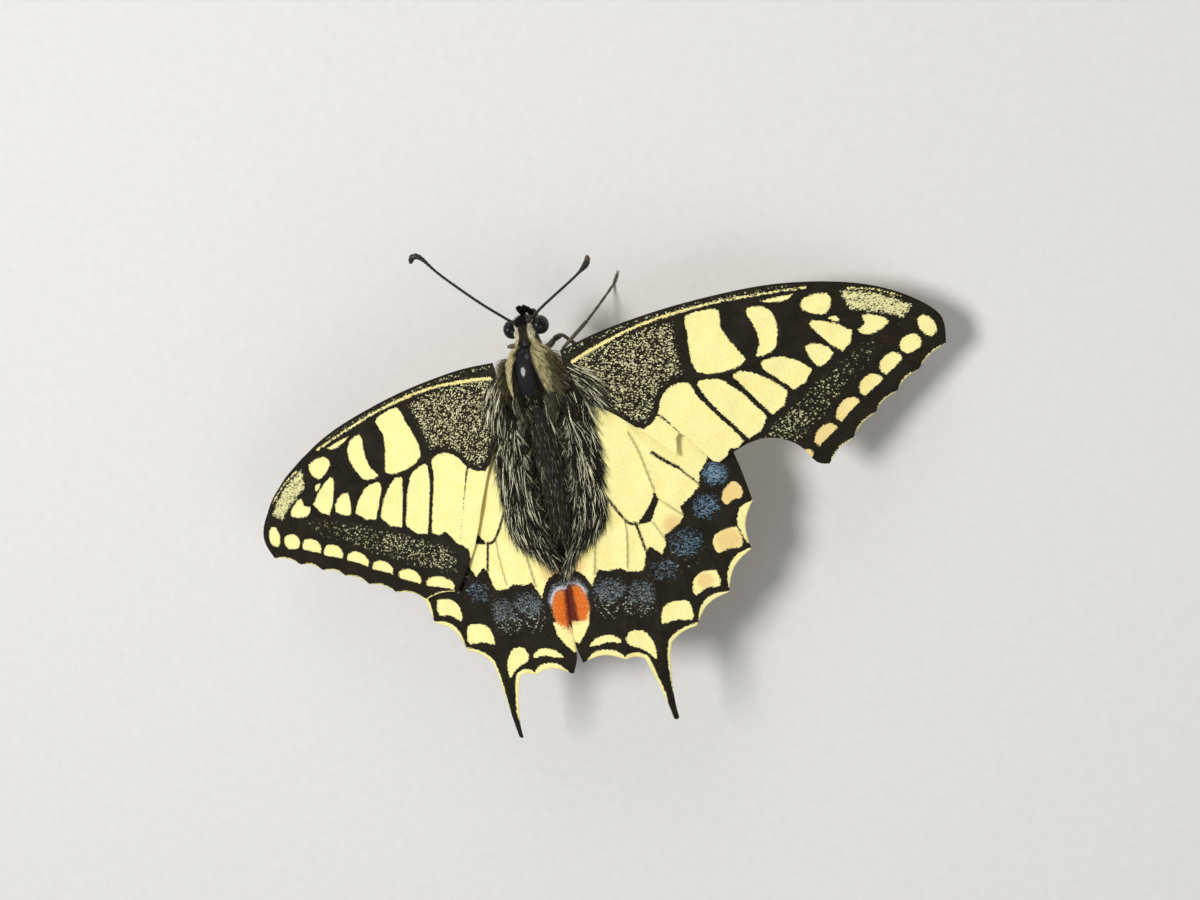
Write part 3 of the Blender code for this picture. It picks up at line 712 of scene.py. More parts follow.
def onWing(points, height, side, plan):
    sign = sides[side]
    stretch = plan["stretch"][side]
    flat = np.stack([sign * points[:, 0] * stretch, points[:, 1] * stretch, height], 1)
    turn = turnAcross(sign * plan["droop"]) @ turnFlat(sign * plan["sweep"][side])
    return flat @ turn.T + np.array(plan["hinge"]) * (sign, 1, 1)


def wingRelief(points, plan, base):
    # the membrane dips between veins and swells a little from place to place
    x, y = points.T
    vein = nearVein(points, plan)
    pleat = -wingMesh["pleat"] * fade(vein, 0.1, wingMesh["pleatReach"])
    swell = wingMesh["swell"] * np.sin(0.55 * x + 0.8) * np.sin(0.5 * y - 0.4)
    swell = swell + wingMesh["ripple"] * np.sin(1.7 * x - 0.9 * y)
    return base(points) + pleat + swell * fade(np.abs(x), 0, 3), vein


def makeWing(name, side, plan, outline, base, marks, finish):
    points, cells, rim = clippedGrid(outline, wingMesh["spacing"])
    height, vein = wingRelief(points, plan, base)
    edge = toLine(points, closedLoop(outline))[0]
    inwards = fade(edge, 0.0, wingMesh["rimWidth"])
    thickness = wingMesh["rim"] + (wingMesh["thickness"] - wingMesh["rim"]) * inwards
    ridge = wingMesh["veinRise"] * np.exp(-((vein / wingMesh["veinHalf"]) ** 2)) * fade(edge, 0.0, 0.4)
    top = onWing(points, height + thickness / 2 + ridge, side, plan)
    under = onWing(points, height - thickness / 2 - ridge, side, plan)
    count = len(points)
    a, b = rim.T
    faces = [np.vstack([cells, cells[:, ::-1] + count, np.stack([b, a, a + count, b + count], 1)])]
    above, below = marks(points, side, False), marks(points, side, True)
    numbers = {key: np.concatenate(both) for key, *both in zip(wingNumbers, above, below)}
    numbers["vein"] = np.tile(vein, 2)
    spread = {"wingPlan": np.tile(points / wingSquare + 0.5, (2, 1))}
    points = np.vstack([top, under])
    makePiece(name + "_scales", points, faces, finish, [name], numbers, spread)


def wingFinish():
    look = {
        "cream": (0.90, 0.82, 0.36, 1),
        "butter": (0.88, 0.77, 0.29, 1),
        "black": (0.006, 0.005, 0.003, 1),
        "brown": (0.020, 0.015, 0.006, 1),
        "dust": (0.34, 0.34, 0.17, 1),
        "paleDust": (0.72, 0.69, 0.39, 1),
        "thickDust": (0.66, 0.62, 0.30, 1),
        "blue": (0.06, 0.12, 0.18, 1),
        "paleBlue": (0.27, 0.38, 0.45, 1),
        "slate": (0.07, 0.085, 0.095, 1),
        "paleSlate": (0.26, 0.29, 0.29, 1),
        "lilac": (0.50, 0.48, 0.54, 1),
        "orange": (0.64, 0.125, 0.006, 1),
        "blush": (0.72, 0.27, 0.08, 1),
        "rust": (0.34, 0.05, 0.004, 1),
        # dark red painted as shade on the eyespot's inner side, at the hindwings' seam
        "seamShade": (0.10, 0.014, 0.006, 1),
        "tan": (0.76, 0.50, 0.19, 1),
        "vein": (0.16, 0.11, 0.04, 1),
        "scaleLength": 0.16,
        "scaleWidth": 0.1,
    }
    wing = Finish("wingScales", Specular_IOR_Level=0.12)
    plan = wing.add("UVMap", {"uv_map": "wingPlan"})
    scales = (wingSquare / look["scaleLength"], wingSquare / look["scaleWidth"], 1)
    scales = wing.stretched(plan, scales)
    lot = wing.cells(scales, 1.0)
    otherLot = wing.cells(wing.stretched(scales, (1.07, 0.93, 1)), 1.0)
    soft = wing.noise(plan, 30.0)
    pale, dust, blue, rust, tan, lines, slate = (wing.number(key) for key in wingNumbers)
    jagged = pale + (lot - 0.5) * 0.16 + (soft - 0.5) * 0.1
    isPale = jagged.step(-0.025, 0.025)
    ground = wing.mix(soft.step(0.35, 0.75) * 0.5 + lot * 0.5, look["black"], look["brown"])
    isDust = (otherLot + dust - 1.0).step(0.0, 0.1)
    powder = wing.mix(lot * 0.8 + dust * 0.5, look["dust"], look["paleDust"])
    powder = wing.mix(dust.step(0.4, 0.7), powder, look["thickDust"])
    powder = wing.mix(slate * 0.75, powder, look["paleSlate"])
    ground = wing.mix(isDust, ground, powder)
    isBlue = (lot + blue.clamped() - 1.0).step(0.0, 0.2)
    shade = (blue * 0.6 + otherLot * 0.9 - 0.65).clamped()
    deep = wing.mix(slate, look["blue"], look["slate"])
    bright = wing.mix(slate, look["paleBlue"], look["paleSlate"])
    ground = wing.mix(isBlue, ground, wing.mix(shade, deep, bright))
    ground = wing.mix((blue - 1.1 + (otherLot - 0.5) * 0.4).step(0.0, 0.3), ground, look["lilac"])
    cream = wing.mix(soft.step(0.3, 0.8), look["cream"], look["butter"])
    cream = wing.mix(tan.clamped() * 0.75, cream, look["tan"])
    cream = wing.mix(lot * 0.1, cream, look["brown"])
    cream = wing.mix(lines * 0.8, cream, look["vein"])
    colour = wing.mix(isPale, ground, cream)
    rusty = wing.mix((rust + (lot - 0.5) * 0.4).step(0.0, 0.6), look["blush"], look["orange"])
    rusty = wing.mix((otherLot - 0.5).step(0.0, 0.5) * 0.4, rusty, look["rust"])
    # in the eyespot, tan turns the rust to the painted shade's dark red
    rusty = wing.mix((tan + (lot - 0.5) * 0.25).step(0.2, 1.0), rusty, look["seamShade"])
    colour = wing.mix((rust + (lot - 0.5) * 0.25).step(0.0, 0.3), colour, rusty)
    relief = lot * 0.5 + wing.number("vein").step(0.25, 0.0)
    wing.bump(relief, 0.3, 0.00004)
    return wing.finished(colour, isPale * 0.1 + 0.62)


wingSkin = wingFinish()
for side in sides:
    outline = forewingOutline(torn=side == "right")
    makeWing("forewing_" + side, side, forewing, outline, forewingHeight, forewingMarks, wingSkin)
    outline = hindwingOutline(side)
    makeWing("hindwing_" + side, side, hindwing, outline, hindwingHeight, hindwingMarks, wingSkin)


# Body: one skin over head, neck, thorax and abdomen, inside the solids by the coat's depth.
body = {
    "head": {"middle": (3.9, -1.55), "half": (1.22, 0.95, 1.15)},
    "thorax": {"middle": (-1.1, -1.0), "half": (2.55, 3.3, 2.75), "blunt": 2.3},
    "neck": {"middle": (-1.1, -1.3), "half": (1.15, 4.9, 1.15), "blunt": 8.0},
    "abdomen": {
        "front": -5.05,
        "length": 15.4,
        "radius": 1.85,
        "height": -1.65,
        "slope": 0.0175,
        "waist": 0.14,
        "blunt": 2.6,
        "taperFrom": 0.35,
        "taper": 2.2,
        "rings": 8,
        "ringDepth": 0.025,
        "ringWidth": 0.2,
    },
    "front": 4.83,
    "rear": -20.4,
    "union": 4,
    "stations": 280,
    "around": 112,
    "widest": 2.65,
    # half widths of the black above and of the bare plate, from the rear forwards
    "blackHalf": ((-6.0, -4.7, -2.6, -1.5, -0.5, 1.6, 3.5, 4.9), (1.3, 1.5, 1.75, 1.5, 1.25, 0.7, 0.45, 0.5)),
    "plateHalf": ((-4.2, -2.6, -1.0, 1.0, 3.0), (0.9, 1.35, 1.3, 0.75, 0.45)),
}


def bodySections(y):
    # half width, half height and middle height at y: the parts' own, joined by a high power mean
    widths, heights, middles = [], [], []
    for name in ("head", "thorax", "neck"):
        part = body[name]
        blunt = part.get("blunt", 2.0)
        reach = np.clip(np.abs((y - part["middle"][0]) / part["half"][1]), 0, 1)
        swell = (1 - reach**blunt) ** (1 / blunt)
        widths.append(part["half"][0] * swell)
        heights.append(part["half"][2] * swell)
        middles.append(np.full(len(y), part["middle"][1]))
    tail = body["abdomen"]
    t = np.clip((tail["front"] - y) / tail["length"], 0, 1)
    blunt, taperFrom = tail["blunt"], tail["taperFrom"]
    swell = (1 - (1 - np.minimum(1, t / tail["waist"])) ** blunt) ** (1 / blunt)
    swell = swell * np.sqrt(1 - np.maximum(0, (t - taperFrom) / (1 - taperFrom)) ** tail["taper"])
    ring = np.abs((t * tail["rings"] + 0.5) % 1 - 0.5) / tail["rings"] * tail["length"]
    swell = swell * (1 - tail["ringDepth"] * np.exp(-((ring / tail["ringWidth"]) ** 2))) * (y < tail["front"])
    widths.append(tail["radius"] * swell)
    heights.append(tail["radius"] * swell)
    middles.append(tail["height"] - tail["slope"] * (tail["front"] - y))
    power = body["union"]
    shares = np.array(widths) ** power
    total = np.maximum(shares.sum(0), 1e-12)
    middle = (shares * np.array(middles)).sum(0) / total
    return total ** (1 / power), (np.array(heights) ** power).sum(0) ** (1 / power), middle


def onBody(y, angle):
    # the angle goes round from the top, positive to the butterfly's right
    wide, tall, middle = bodySections(y)
    return np.stack([wide * np.sin(angle), y, middle + tall * np.cos(angle)], -1)


def bodyFrame(y, angle):
    # place, outward direction, rearward direction and the direction round the body
    here = onBody(y, angle)
    rear = unit(onBody(y - 0.05, angle) - onBody(y + 0.05, angle))
    aside = unit(onBody(y, angle + 0.02) - onBody(y, angle - 0.02))
    return here, unit(np.cross(rear, aside)), rear, aside


def besideMiddle(y, angle):
    # how far out from the middle a place lies as seen from above, and below the widest line the
    # full half width
    return bodySections(y)[0] * np.sin(np.minimum(np.abs(angle), math.pi / 2))


def bodyPale(y, angle):
    # how pale the coat is: black above, pale bands beside, pale below
    turn = np.abs(angle)
    half = np.interp(y, *body["blackHalf"])
    wide = besideMiddle(y, angle)
    thorax = fade(wide, half - 0.15, half + 0.1) * (1 - 0.35 * fade(turn, 1.7, 2.2))
    thorax = thorax * (0.25 + 0.75 * fade(y, -3.8, -2.2))
    head = fade(wide, half - 0.1, half + 0.05) * (1 - 0.85 * fade(turn, 0.95, 1.15))
    head = head + 0.8 * fade(turn, 2.0, 2.4)
    side = fade(turn, 1.15, 1.3) * fade(turn, 1.75, 1.6)
    belly = fade(turn, 2.0, 2.15) * fade(turn, 3.0, 2.85)
    abdomen = np.maximum(side, 0.9 * belly)
    pale = np.where(y > 2.7, head, thorax)
    share = fade(y, -4.2, -5.4)
    return np.clip(pale * (1 - share) + abdomen * share, 0, 1)


def bodyBare(y, angle):
    # the glossy plate along the middle of the thorax
    half = np.interp(y, *body["plateHalf"])
    return fade(besideMiddle(y, angle), half, half - 0.3) * fade(y, -4.0, -3.0) * fade(y, 2.8, 1.8)


def makeBody(finish):
    stations, around = body["stations"], body["around"]
    turn = np.linspace(0.02, math.pi - 0.02, stations)
    middle, half = (body["front"] + body["rear"]) / 2, (body["front"] - body["rear"]) / 2
    y = middle + half * np.cos(turn)
    angle = np.linspace(-math.pi, math.pi, around, endpoint=False)
    y, angle = (part.ravel() for part in np.meshgrid(y, angle, indexing="ij"))
    faces = tubeFaces(stations, around)
    numbers = {"pale": bodyPale(y, angle), "bare": bodyBare(y, angle)}
    replaced = ["head", "thorax", "abdomen"]
    makePiece("body_skin", onBody(y, angle), faces, finish, replaced, numbers)


def tubeFaces(rings, around):
    # quads between the rings, and one face at each end
    index = np.arange(rings * around).reshape(rings, around)
    after = np.roll(index, -1, axis=1)
    quads = np.stack([index[:-1], after[:-1], after[1:], index[1:]], -1).reshape(-1, 4)
    return [quads, index[:1, ::-1], index[-1:]]


def tube(line, radii, around):
    # rings square to the line, each turned the least from the one before
    line = np.asarray(line, float)
    ahead = unit(np.gradient(line, axis=0))
    side = unit(np.cross(ahead[0], (0.3, 0.2, 0.93)))
    rings = []
    turn = np.linspace(0, 2 * math.pi, around, endpoint=False)[:, None]
    for place, way, radius in zip(line, ahead, radii):
        side = unit(side - way * np.dot(side, way))
        other = np.cross(way, side)
        rings.append(place + radius * (np.cos(turn) * side + np.sin(turn) * other))
    return np.vstack(rings), tubeFaces(len(line), around)


def joined(parts):
    # several closed shapes as one, with their faces kept together by their width
    points, faces, count = [], {}, 0
    for places, rows in parts:
        places = np.asarray(places)
        for row in facingOut(places, rows):
            faces.setdefault(row.shape[1], []).append(row + count)
        points.append(places)
        count += len(places)
    return np.vstack(points), [np.vstack(rows) for rows in faces.values()]


def walked(line):
    # how far along the line each of its points is
    return np.concatenate([[0], np.cumsum(np.linalg.norm(np.diff(line, axis=0), axis=1))])


def rounded(radii, line):
    # the radii, closing to a round end at both ends of the line
    lengths = walked(line)
    near = np.minimum(lengths, lengths[-1] - lengths) / radii
    return radii * np.sqrt(np.clip(1 - (1 - np.minimum(near, 1)) ** 2, 0.004, 1))


def evenLine(line, count):
    # the same line with so many points, evenly far apart, closer at its ends for round caps
    lengths = walked(line)
    t = np.linspace(0, 1, count)
    ends = np.array([0.0, 0.02, 0.08]) * 0.3 / lengths[-1]
    t = np.unique(np.concatenate([ends, t[1:-1], 1 - ends]))
    return np.stack([np.interp(t * lengths[-1], lengths, line[:, k]) for k in range(3)], 1), t


eyes = {"half": (0.84, 0.98, 1.2), "rings": 60, "around": 72}


def makeEye(side, finish):
    rings, around = eyes["rings"], eyes["around"]
    turn = np.linspace(0.015, math.pi - 0.015, rings)
    angle = np.linspace(0, 2 * math.pi, around, endpoint=False)
    t, a = (part.ravel() for part in np.meshgrid(turn, angle, indexing="ij"))
    ball = np.stack([np.cos(t), np.sin(t) * np.cos(a), np.sin(t) * np.sin(a)], 1)
    low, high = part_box("eye_" + side)
    middle = (np.array(low) + np.array(high)) / 2 / mm - bodyOrigin
    points = middle + ball * eyes["half"]
    makePiece(f"eye_{side}_lens", points, tubeFaces(rings, around), finish, ["eye_" + side])


feelers = {
    "radius": 0.15,
    "taper": 0.15,
    "club": 0.33,
    "clubAt": 0.93,
    "clubSpread": 0.085,
    "rootSwell": 0.14,
    "rootReach": 0.02,
    "joints": 34,
    "jointDepth": 0.1,
    "left": [
        (-0.6, 4.45, -0.35), (-3.27, 7.33, 1.5), (-6.3, 10.9, 3.1), (-7.7, 12.9, 3.8), (-8.5, 13.2, 4.0),
        (-9.0, 12.6, 3.7),
    ],
    "right": [
        (0.7, 4.5, -0.35), (3.72, 6.05, 1.6), (8.3, 8.1, 5.0), (10.2, 9.05, 6.5), (10.9, 9.6, 7.05),
        (11.1, 10.2, 7.3),
    ],
}


def makeFeeler(side, finish):
    plan = feelers
    line, t = evenLine(smoothLine(plan[side], 12), 150)
    club = (plan["club"] - plan["radius"]) * np.exp(-(((t - plan["clubAt"]) / plan["clubSpread"]) ** 2))
    ring = 1 + plan["jointDepth"] * np.cos(2 * math.pi * plan["joints"] * t)
    root = plan["rootSwell"] * np.exp(-((t / plan["rootReach"]) ** 2))
    radii = (plan["radius"] * (1 - plan["taper"] * t) + club + root) * ring
    points, faces = tube(line, rounded(radii, line), 16)
    name = "antenna_" + side
    numbers = {"along": np.repeat(t, 16)}
    makePiece(name + "_horn", points, faces, finish, [name], numbers)


proboscis = {
    "root": [(0, 3.95, -2.3), (0, 3.96, -2.8), (0, 4.15, -3.18)],
    "middle": (4.5, -4.4),
    "outer": 1.1,
    "inner": 0.1,
    "turns": 1.75,
    "radius": 0.2,
    "narrowing": 0.08,
    "ridge": 0.008,
}


def makeProboscis(finish):
    # out of the head's underside into a flat spiral, forwards and down first, narrowing to its inner end
    plan = proboscis
    t = np.linspace(0, 1, 130)
    turn = 2 * math.pi * (0.25 - plan["turns"] * t)
    radius = plan["outer"] * (1 - t) + plan["inner"] * t
    y, z = plan["middle"][0] + radius * np.cos(turn), plan["middle"][1] + radius * np.sin(turn)
    coil = np.stack([np.zeros(130), y, z], 1)
    root = smoothLine([*plan["root"], coil[0]], 8)[:-1]
    line, t = evenLine(np.vstack([root, coil]), 150)
    radii = plan["radius"] - plan["narrowing"] * t + plan["ridge"] * np.cos(900 * t)
    points, faces = tube(line, rounded(radii, line), 12)
    numbers = {"along": np.repeat(t, 12)}
    makePiece("proboscis_coil", points, faces, finish, ["proboscis"], numbers)


palps = {"knots": [(0.46, 5.0, -2.95), (0.4, 5.5, -2.2), (0.3, 5.85, -1.45)], "radius": 0.27, "taper": 0.25}


def palpLine(side):
    return smoothLine(np.array(palps["knots"]) * (sides[side], 1, 1), 8)


def makePalp(side, finish):
    line, t = evenLine(palpLine(side), 40)
    points, faces = tube(line, rounded(palps["radius"] * (1 - palps["taper"] * t), line), 16)
    name = "palp_" + side
    numbers = {"pale": np.zeros(len(points))}
    makePiece(name + "_shell", points, faces, finish, [name], numbers)


# Legs: hip, trochanter, knee, ankle, heel on the floor and toe.
legs = {
    "front_right": [
        (1.0, 1.2, -3.7), (1.4, 2.0, -5.0), (2.6, 2.4, -4.5), (3.0, 0.2, -8.9), (3.3, -0.2), (3.7, 0.9),
    ],
    "middle_right": [
        (1.6, -1.0, -3.9), (2.1, -1.9, -5.4), (2.95, 1.0, -2.9), (4.6, 3.2, -7.4), (6.55, 6.3),
        (7.2, 7.4),
    ],
    "hind_right": [
        (1.6, -3.1, -3.6), (2.4, -3.9, -5.0), (5.6, -6.9, -3.8), (8.1, -11.0, -9.6), (8.9, -12.7),
        (9.6, -14.4),
    ],
    "front_left": [
        (-1.0, 1.2, -3.7), (-1.5, 1.9, -5.1), (-3.5, 2.1, -4.3), (-4.1, 1.7, -9.2), (-4.3, 1.9),
        (-4.7, 3.0),
    ],
    "middle_left": [
        (-1.6, -1.0, -3.8), (-2.4, -1.2, -5.3), (-5.6, -1.3, -3.4), (-8.0, -1.9, -9.4), (-8.7, -1.9),
        (-10.0, -1.5),
    ],
    "hind_left": [
        (-1.6, -3.1, -3.6), (-2.4, -3.9, -5.0), (-5.4, -6.6, -3.8), (-7.8, -10.8, -9.6), (-8.6, -12.6),
        (-9.2, -14.4),
    ],
}
legLook = {
    "hip": 0.42,
    "femur": 0.31,
    "tibia": 0.19,
    "tarsus": 0.145,
    "claw": 0.05,
    "around": 14,
    "clawAround": 8,
    "clawRings": 14,
    "sag": (0, 0, -0.2),
    "rootRise": (0, 0, 0.8),
}


def makeLeg(name, finish):
    joints = legs[name]
    look = legLook
    hip, trochanter, knee, ankle = (np.array(joint) for joint in joints[:4])
    sole = floorHeight + look["tarsus"]
    heel, toe = (np.array((*joint, sole)) for joint in joints[4:])
    # the hip starts inside the skin
    thigh = [hip * (0.85, 1, 1) + look["rootRise"], (hip + trochanter) / 2]
    thigh.append(trochanter + (knee - trochanter) * 0.06)
    femur = [trochanter, trochanter * 0.6 + knee * 0.4, knee]
    tibia = [knee, knee * 0.5 + ankle * 0.5, ankle]
    tarsus = [ankle, (ankle + heel) / 2 + look["sag"], heel, (heel + toe) / 2, toe]
    parts, along = [], []
    pieces = [
        (thigh, lambda t: look["hip"] * (1 - 0.25 * t), 24),
        (femur, lambda t: look["femur"] * (1 + 0.2 * np.sin(math.pi * t) - 0.3 * t), 50),
        (tibia, lambda t: look["tibia"] * (0.95 + 0.15 * t + 0.1 * np.sin(math.pi * t)), 60),
        (tarsus, lambda t: look["tarsus"] * (1.02 - 0.12 * np.cos(2 * math.pi * 5 * t) - 0.14 * t), 90),
    ]
    for share, (points, radius, count) in enumerate(pieces):
        line, t = evenLine(smoothLine(points, 8), count)
        line[:, 2] = np.maximum(line[:, 2], floorHeight + radius(t))
        parts.append(tube(line, rounded(radius(t), line), look["around"]))
        along.append(np.repeat(share + t, look["around"]))
    # two claws on the toe and two spurs behind the ankle
    way, shin = unit(toe - heel), unit(ankle - knee)
    aside, across = np.array((-way[1], way[0], 0)), unit(np.cross(shin, (0.1, 0.2, 1.0)))
    count, around = look["clawRings"], look["clawAround"]
    t = np.linspace(0, 1, count)[:, None]
    for turn in (-1, 1):
        claw = toe + way * (0.05 + 0.3 * t) + aside * turn * (0.05 + 0.12 * t)
        claw[:, 2] += (0.1 * t - 0.17 * t**2).ravel()
        spur = ankle - shin * 0.1 + (shin * 0.55 + across * 0.2 * turn) * t
        for line, share in ((claw, 4.0), (spur, 3.0)):
            parts.append(tube(line, look["claw"] * (1.05 - t.ravel()), around))
            along.append(np.full(count * around, share))
    points, faces = joined(parts)
    name = "leg_" + name
    makePiece(name + "_shell", points, faces, finish, [name], {"along": np.concatenate(along)})


def shellFinish(name, dark, pale, roughness, grain):
    # horn with a fine grain, darker towards its far end
    horn = Finish(name, Specular_IOR_Level=0.5)
    place = horn.place()
    fleck = horn.noise(place, grain)
    share = horn.number("along").step(2.2, 3.2)
    colour = horn.mix(share, horn.mix(fleck, pale, dark), horn.mix(fleck * 0.6, dark, pale))
    horn.bump(fleck, 0.4, 0.00003)
    return horn.finished(colour, fleck * 0.2 + roughness)


def feelerFinish():
    horn = Finish("feelerHorn", Specular_IOR_Level=0.45)
    place = horn.place()
    fleck = horn.noise(place, 9000.0)
    tip = horn.number("along").step(0.955, 0.99)
    colour = horn.mix(fleck.step(0.35, 0.8), (0.008, 0.007, 0.006, 1), (0.03, 0.024, 0.016, 1))
    colour = horn.mix(tip * 0.5, colour, (0.12, 0.07, 0.03, 1))
    horn.bump(fleck, 0.5, 0.00003)
    return horn.finished(colour, fleck * 0.2 + 0.38)


def eyeFinish():
    lens = Finish("eyeFacets", Specular_IOR_Level=0.15, Coat_Weight=0.6, Coat_Roughness=0.07, Coat_IOR=1.3)
    place = lens.place()
    facets = lens.cells(place, 26000.0, 0.15)
    bands = lens.noise(place, 900.0)
    colour = lens.mix(bands.step(0.35, 0.7), (0.003, 0.003, 0.004, 1), (0.008, 0.009, 0.012, 1))
    lens.bump(facets, 0.25, 0.00001)
    return lens.finished(colour, facets * 0.1 + 0.34)


def skinFinish():
    skin = Finish("bodyShell", Specular_IOR_Level=0.15, Coat_Roughness=0.11, Coat_IOR=1.35)
    place = skin.place()
    fleck = skin.noise(place, 5000.0)
    pale = (skin.number("pale") + (fleck - 0.5) * 0.5).step(0.3, 0.6)
    dark = skin.mix(fleck, (0.005, 0.005, 0.005, 1), (0.018, 0.016, 0.012, 1))
    dark = skin.mix(skin.number("bare"), dark, (0.003, 0.003, 0.004, 1))
    colour = skin.mix(pale * 0.9, dark, (0.30, 0.25, 0.11, 1))
    bare = skin.number("bare")
    skin.bump(fleck * (1 - bare * 0.9), 0.5, 0.00006)
    skin.feed(skin.shader.inputs["Coat Weight"], bare * 0.8)
    return skin.finished(colour, pale * 0.1 + fleck * 0.15 + 0.6)


# Coat: each hair is a closed three-sided taper. Its bake map puts it in a small patch at its root's
# place, and hairs that share a patch share a tint.
patchSize = 0.003
hairShape = {"bend": 0.1, "lean": 0.75, "taper": 0.85, "flat": 0.6}


def clumpLot(spread, clump):
    # one random number from 0 to 1 for each clump, a few patches across
    cell = np.floor(spread / patchSize / clump)
    return np.modf(np.abs(np.sin(cell @ (12.9898, 78.233)) * 43758.5453))[0]


def hairTint(spread, streaks, clump):
    # most clumps keep the coat's tint, some are pale and some dark
    lot = clumpLot(spread, clump)
    pale = fade(lot, 0.75, 0.85) * (0.65 + 0.35 * np.modf(lot * 57)[0])
    return streaks * (pale - 0.12 - 0.55 * fade(lot, 0.3, 0.15))


def growHairs(name, coat, finish):
    # a hair runs along its way, rises and leans back as t goes from 0 to 1, and bends aside
    roots, ups, ways, spread = (np.vstack(coat[key]) for key in ("roots", "ups", "ways", "spread"))
    length, width, rise, tint = (np.concatenate(coat[key]) for key in ("length", "width", "rise", "tint"))
    count, rings = len(roots), coat["rings"]
    ups = unit(ups)
    side = unit(np.cross(ups, ways))
    ways = np.cross(side, ups)
    bend = dice.normal(0, hairShape["bend"], count)
    lean = rise * hairShape["lean"]
    t = np.linspace(0, 1, rings + 1)
    steps = t[None, :, None] * length[:, None, None]
    lift = (rise[:, None] * t - lean[:, None] * t**2)[..., None] * length[:, None, None]
    sway = (bend[:, None] * t**2)[..., None] * length[:, None, None]
    line = roots[:, None] + ways[:, None] * steps + ups[:, None] * lift + side[:, None] * sway
    taper = (width[:, None] * (1 - t[None, :-1] ** 1.5 * hairShape["taper"]))[..., None, None]
    turns = (2 * math.pi * np.arange(3) / 3)[None, None, :, None]
    across = np.cos(turns) * side[:, None, None] * taper
    above = hairShape["flat"] * np.sin(turns) * ups[:, None, None] * taper
    stems = (line[:, :-1, None] + across + above).reshape(count, -1, 3)
    points = np.concatenate([stems, line[:, -1:]], axis=1)
    each = rings * 3 + 1
    quads, root, end = tubeFaces(rings, 3)
    tips = np.stack([end[0], np.roll(end[0], -1), np.full(3, each - 1)], -1)
    start = (np.arange(count) * each)[:, None, None]
    faces = [(quads + start).reshape(-1, 4), (np.vstack([tips, root]) + start).reshape(-1, 3)]
    ringShare = np.append(np.repeat(t[:-1], 3), 1.0)
    sideShare = np.append(np.tile(np.arange(3) / 2, rings), 0.5)
    corner = np.floor(spread / patchSize) * patchSize
    patch = np.stack([sideShare, ringShare], 1) * patchSize * 0.8 + patchSize * 0.1
    plan = (corner[:, None] + patch[None]).reshape(-1, 2)
    streaks = coat["streaks"] * np.maximum(tint, coat["least"])
    tint = np.clip(tint + hairTint(spread, streaks, coat["clump"]), 0, 1)
    numbers = {"tint": np.repeat(tint, each), "along": np.tile(ringShare, count)}
    makePiece(name, points.reshape(-1, 3), faces, finish, (), numbers, {"OFBake": plan})


def newCoat(rings, streaks, clump, least=1.0):
    # streaks is how much the clumps' tints differ, and least the smallest share of that where the
    # coat is black
    coat = {key: [] for key in ("roots", "ups", "ways", "length", "width", "rise", "tint", "spread")}
    return coat | {"rings": rings, "streaks": streaks, "clump": clump, "least": least}


def spanned(count, span):
    return dice.uniform(span[0], span[1], count)


def addHairs(coat, roots, ups, ways, spans, tint, spread):
    # spans holds the least and the greatest length, width and rise
    lot = {"roots": roots, "ups": ups, "ways": ways, "tint": tint, "spread": spread}
    for key, span in zip(("length", "width", "rise"), spans):
        lot[key] = spanned(len(roots), span)
    for key, rows in lot.items():
        coat[key].append(rows)


def bodyHairs(coat, count, ySpan, angleSpan, length, width, rise, outwards, forwards, tint, shift):
    # random roots in a patch of the body on both sides, more of them where the body is wide
    y = spanned(count, ySpan)
    turn = spanned(count, angleSpan)
    angle = turn * np.where(dice.random(count) < 0.5, -1, 1)
    kept = dice.random(count) < bodySections(y)[0] / body["widest"]
    y, angle = y[kept], angle[kept]
    here, up, rear, aside = bodyFrame(y, angle)
    swing = outwards * np.sign(angle) * (1 + dice.normal(0, 0.25, len(y)))
    way = unit(rear * (1 - 2 * forwards) + aside * swing[:, None])
    spans = (length, (width * 0.7, width * 1.2), (rise * 0.6, rise * 1.4))
    shade = bodyPale(y, angle) if tint is None else np.full(len(y), tint)
    long = (y - body["rear"]) / (body["front"] - body["rear"])
    spread = np.stack([angle / (2 * math.pi) + 0.5, long], 1) * 0.98 + 0.01
    addHairs(coat, here - up * 0.03, up, way, spans, np.clip(shade + shift, 0, 1), spread)


def hairZone(side):
    # between the wing's inner margin and the inner edge of its yellow
    margin = innerMargin(side)
    front = [(-0.3, -0.5), (1.7, -0.8)]
    return np.vstack([front, hindwing["yellow"][:8], margin[margin[:, 1] > -17.5] + (0.05, 0)])


def marginZone(side):
    # a strip along the wing's inner margin
    margin = innerMargin(side)
    margin = margin[(margin[:, 1] > -17.0) & (margin[:, 1] < -2.5)]
    return np.vstack([margin, margin[::-1] + (0.8, 0)])


def wingHairs(coat, side, plan, base, zone, heading, count, length, width, rise, tint):
    # random roots inside a zone of the wing; heading gives the lie at each root on the flat wing
    zone = np.array(zone)
    points = dice.uniform(zone.min(0), zone.max(0), (count * 4, 2))
    points = points[depthIn(points, zone) > 0][:count]
    count = len(points)
    height = wingRelief(points, plan, base)[0] + 0.05
    here = onWing(points, height, side, plan)
    # the wing laid flat, its root's stretch filling half of the square
    offset = 0.0 if plan is forewing else 0.4
    spread = np.stack([(points[:, 0] + 6) / 20 + offset, (points[:, 1] + 21) / 24], 1) * 0.98
    sway = (clumpLot(spread + 0.5, coat["clump"]) - 0.5) * 0.25
    flatWay = heading(points) + dice.normal(0, 0.05, (count, 2))
    flatWay[:, 0] += sway
    ahead = onWing(points + flatWay * 0.1, height, side, plan)
    up = np.tile(turnAcross(sides[side] * plan["droop"]) @ (0, 0, 1), (count, 1))
    spans = (length, (width * 0.7, width * 1.2), (rise * 0.5, rise * 1.5))
    addHairs(coat, here, up, unit(ahead - here), spans, np.full(count, tint), spread)


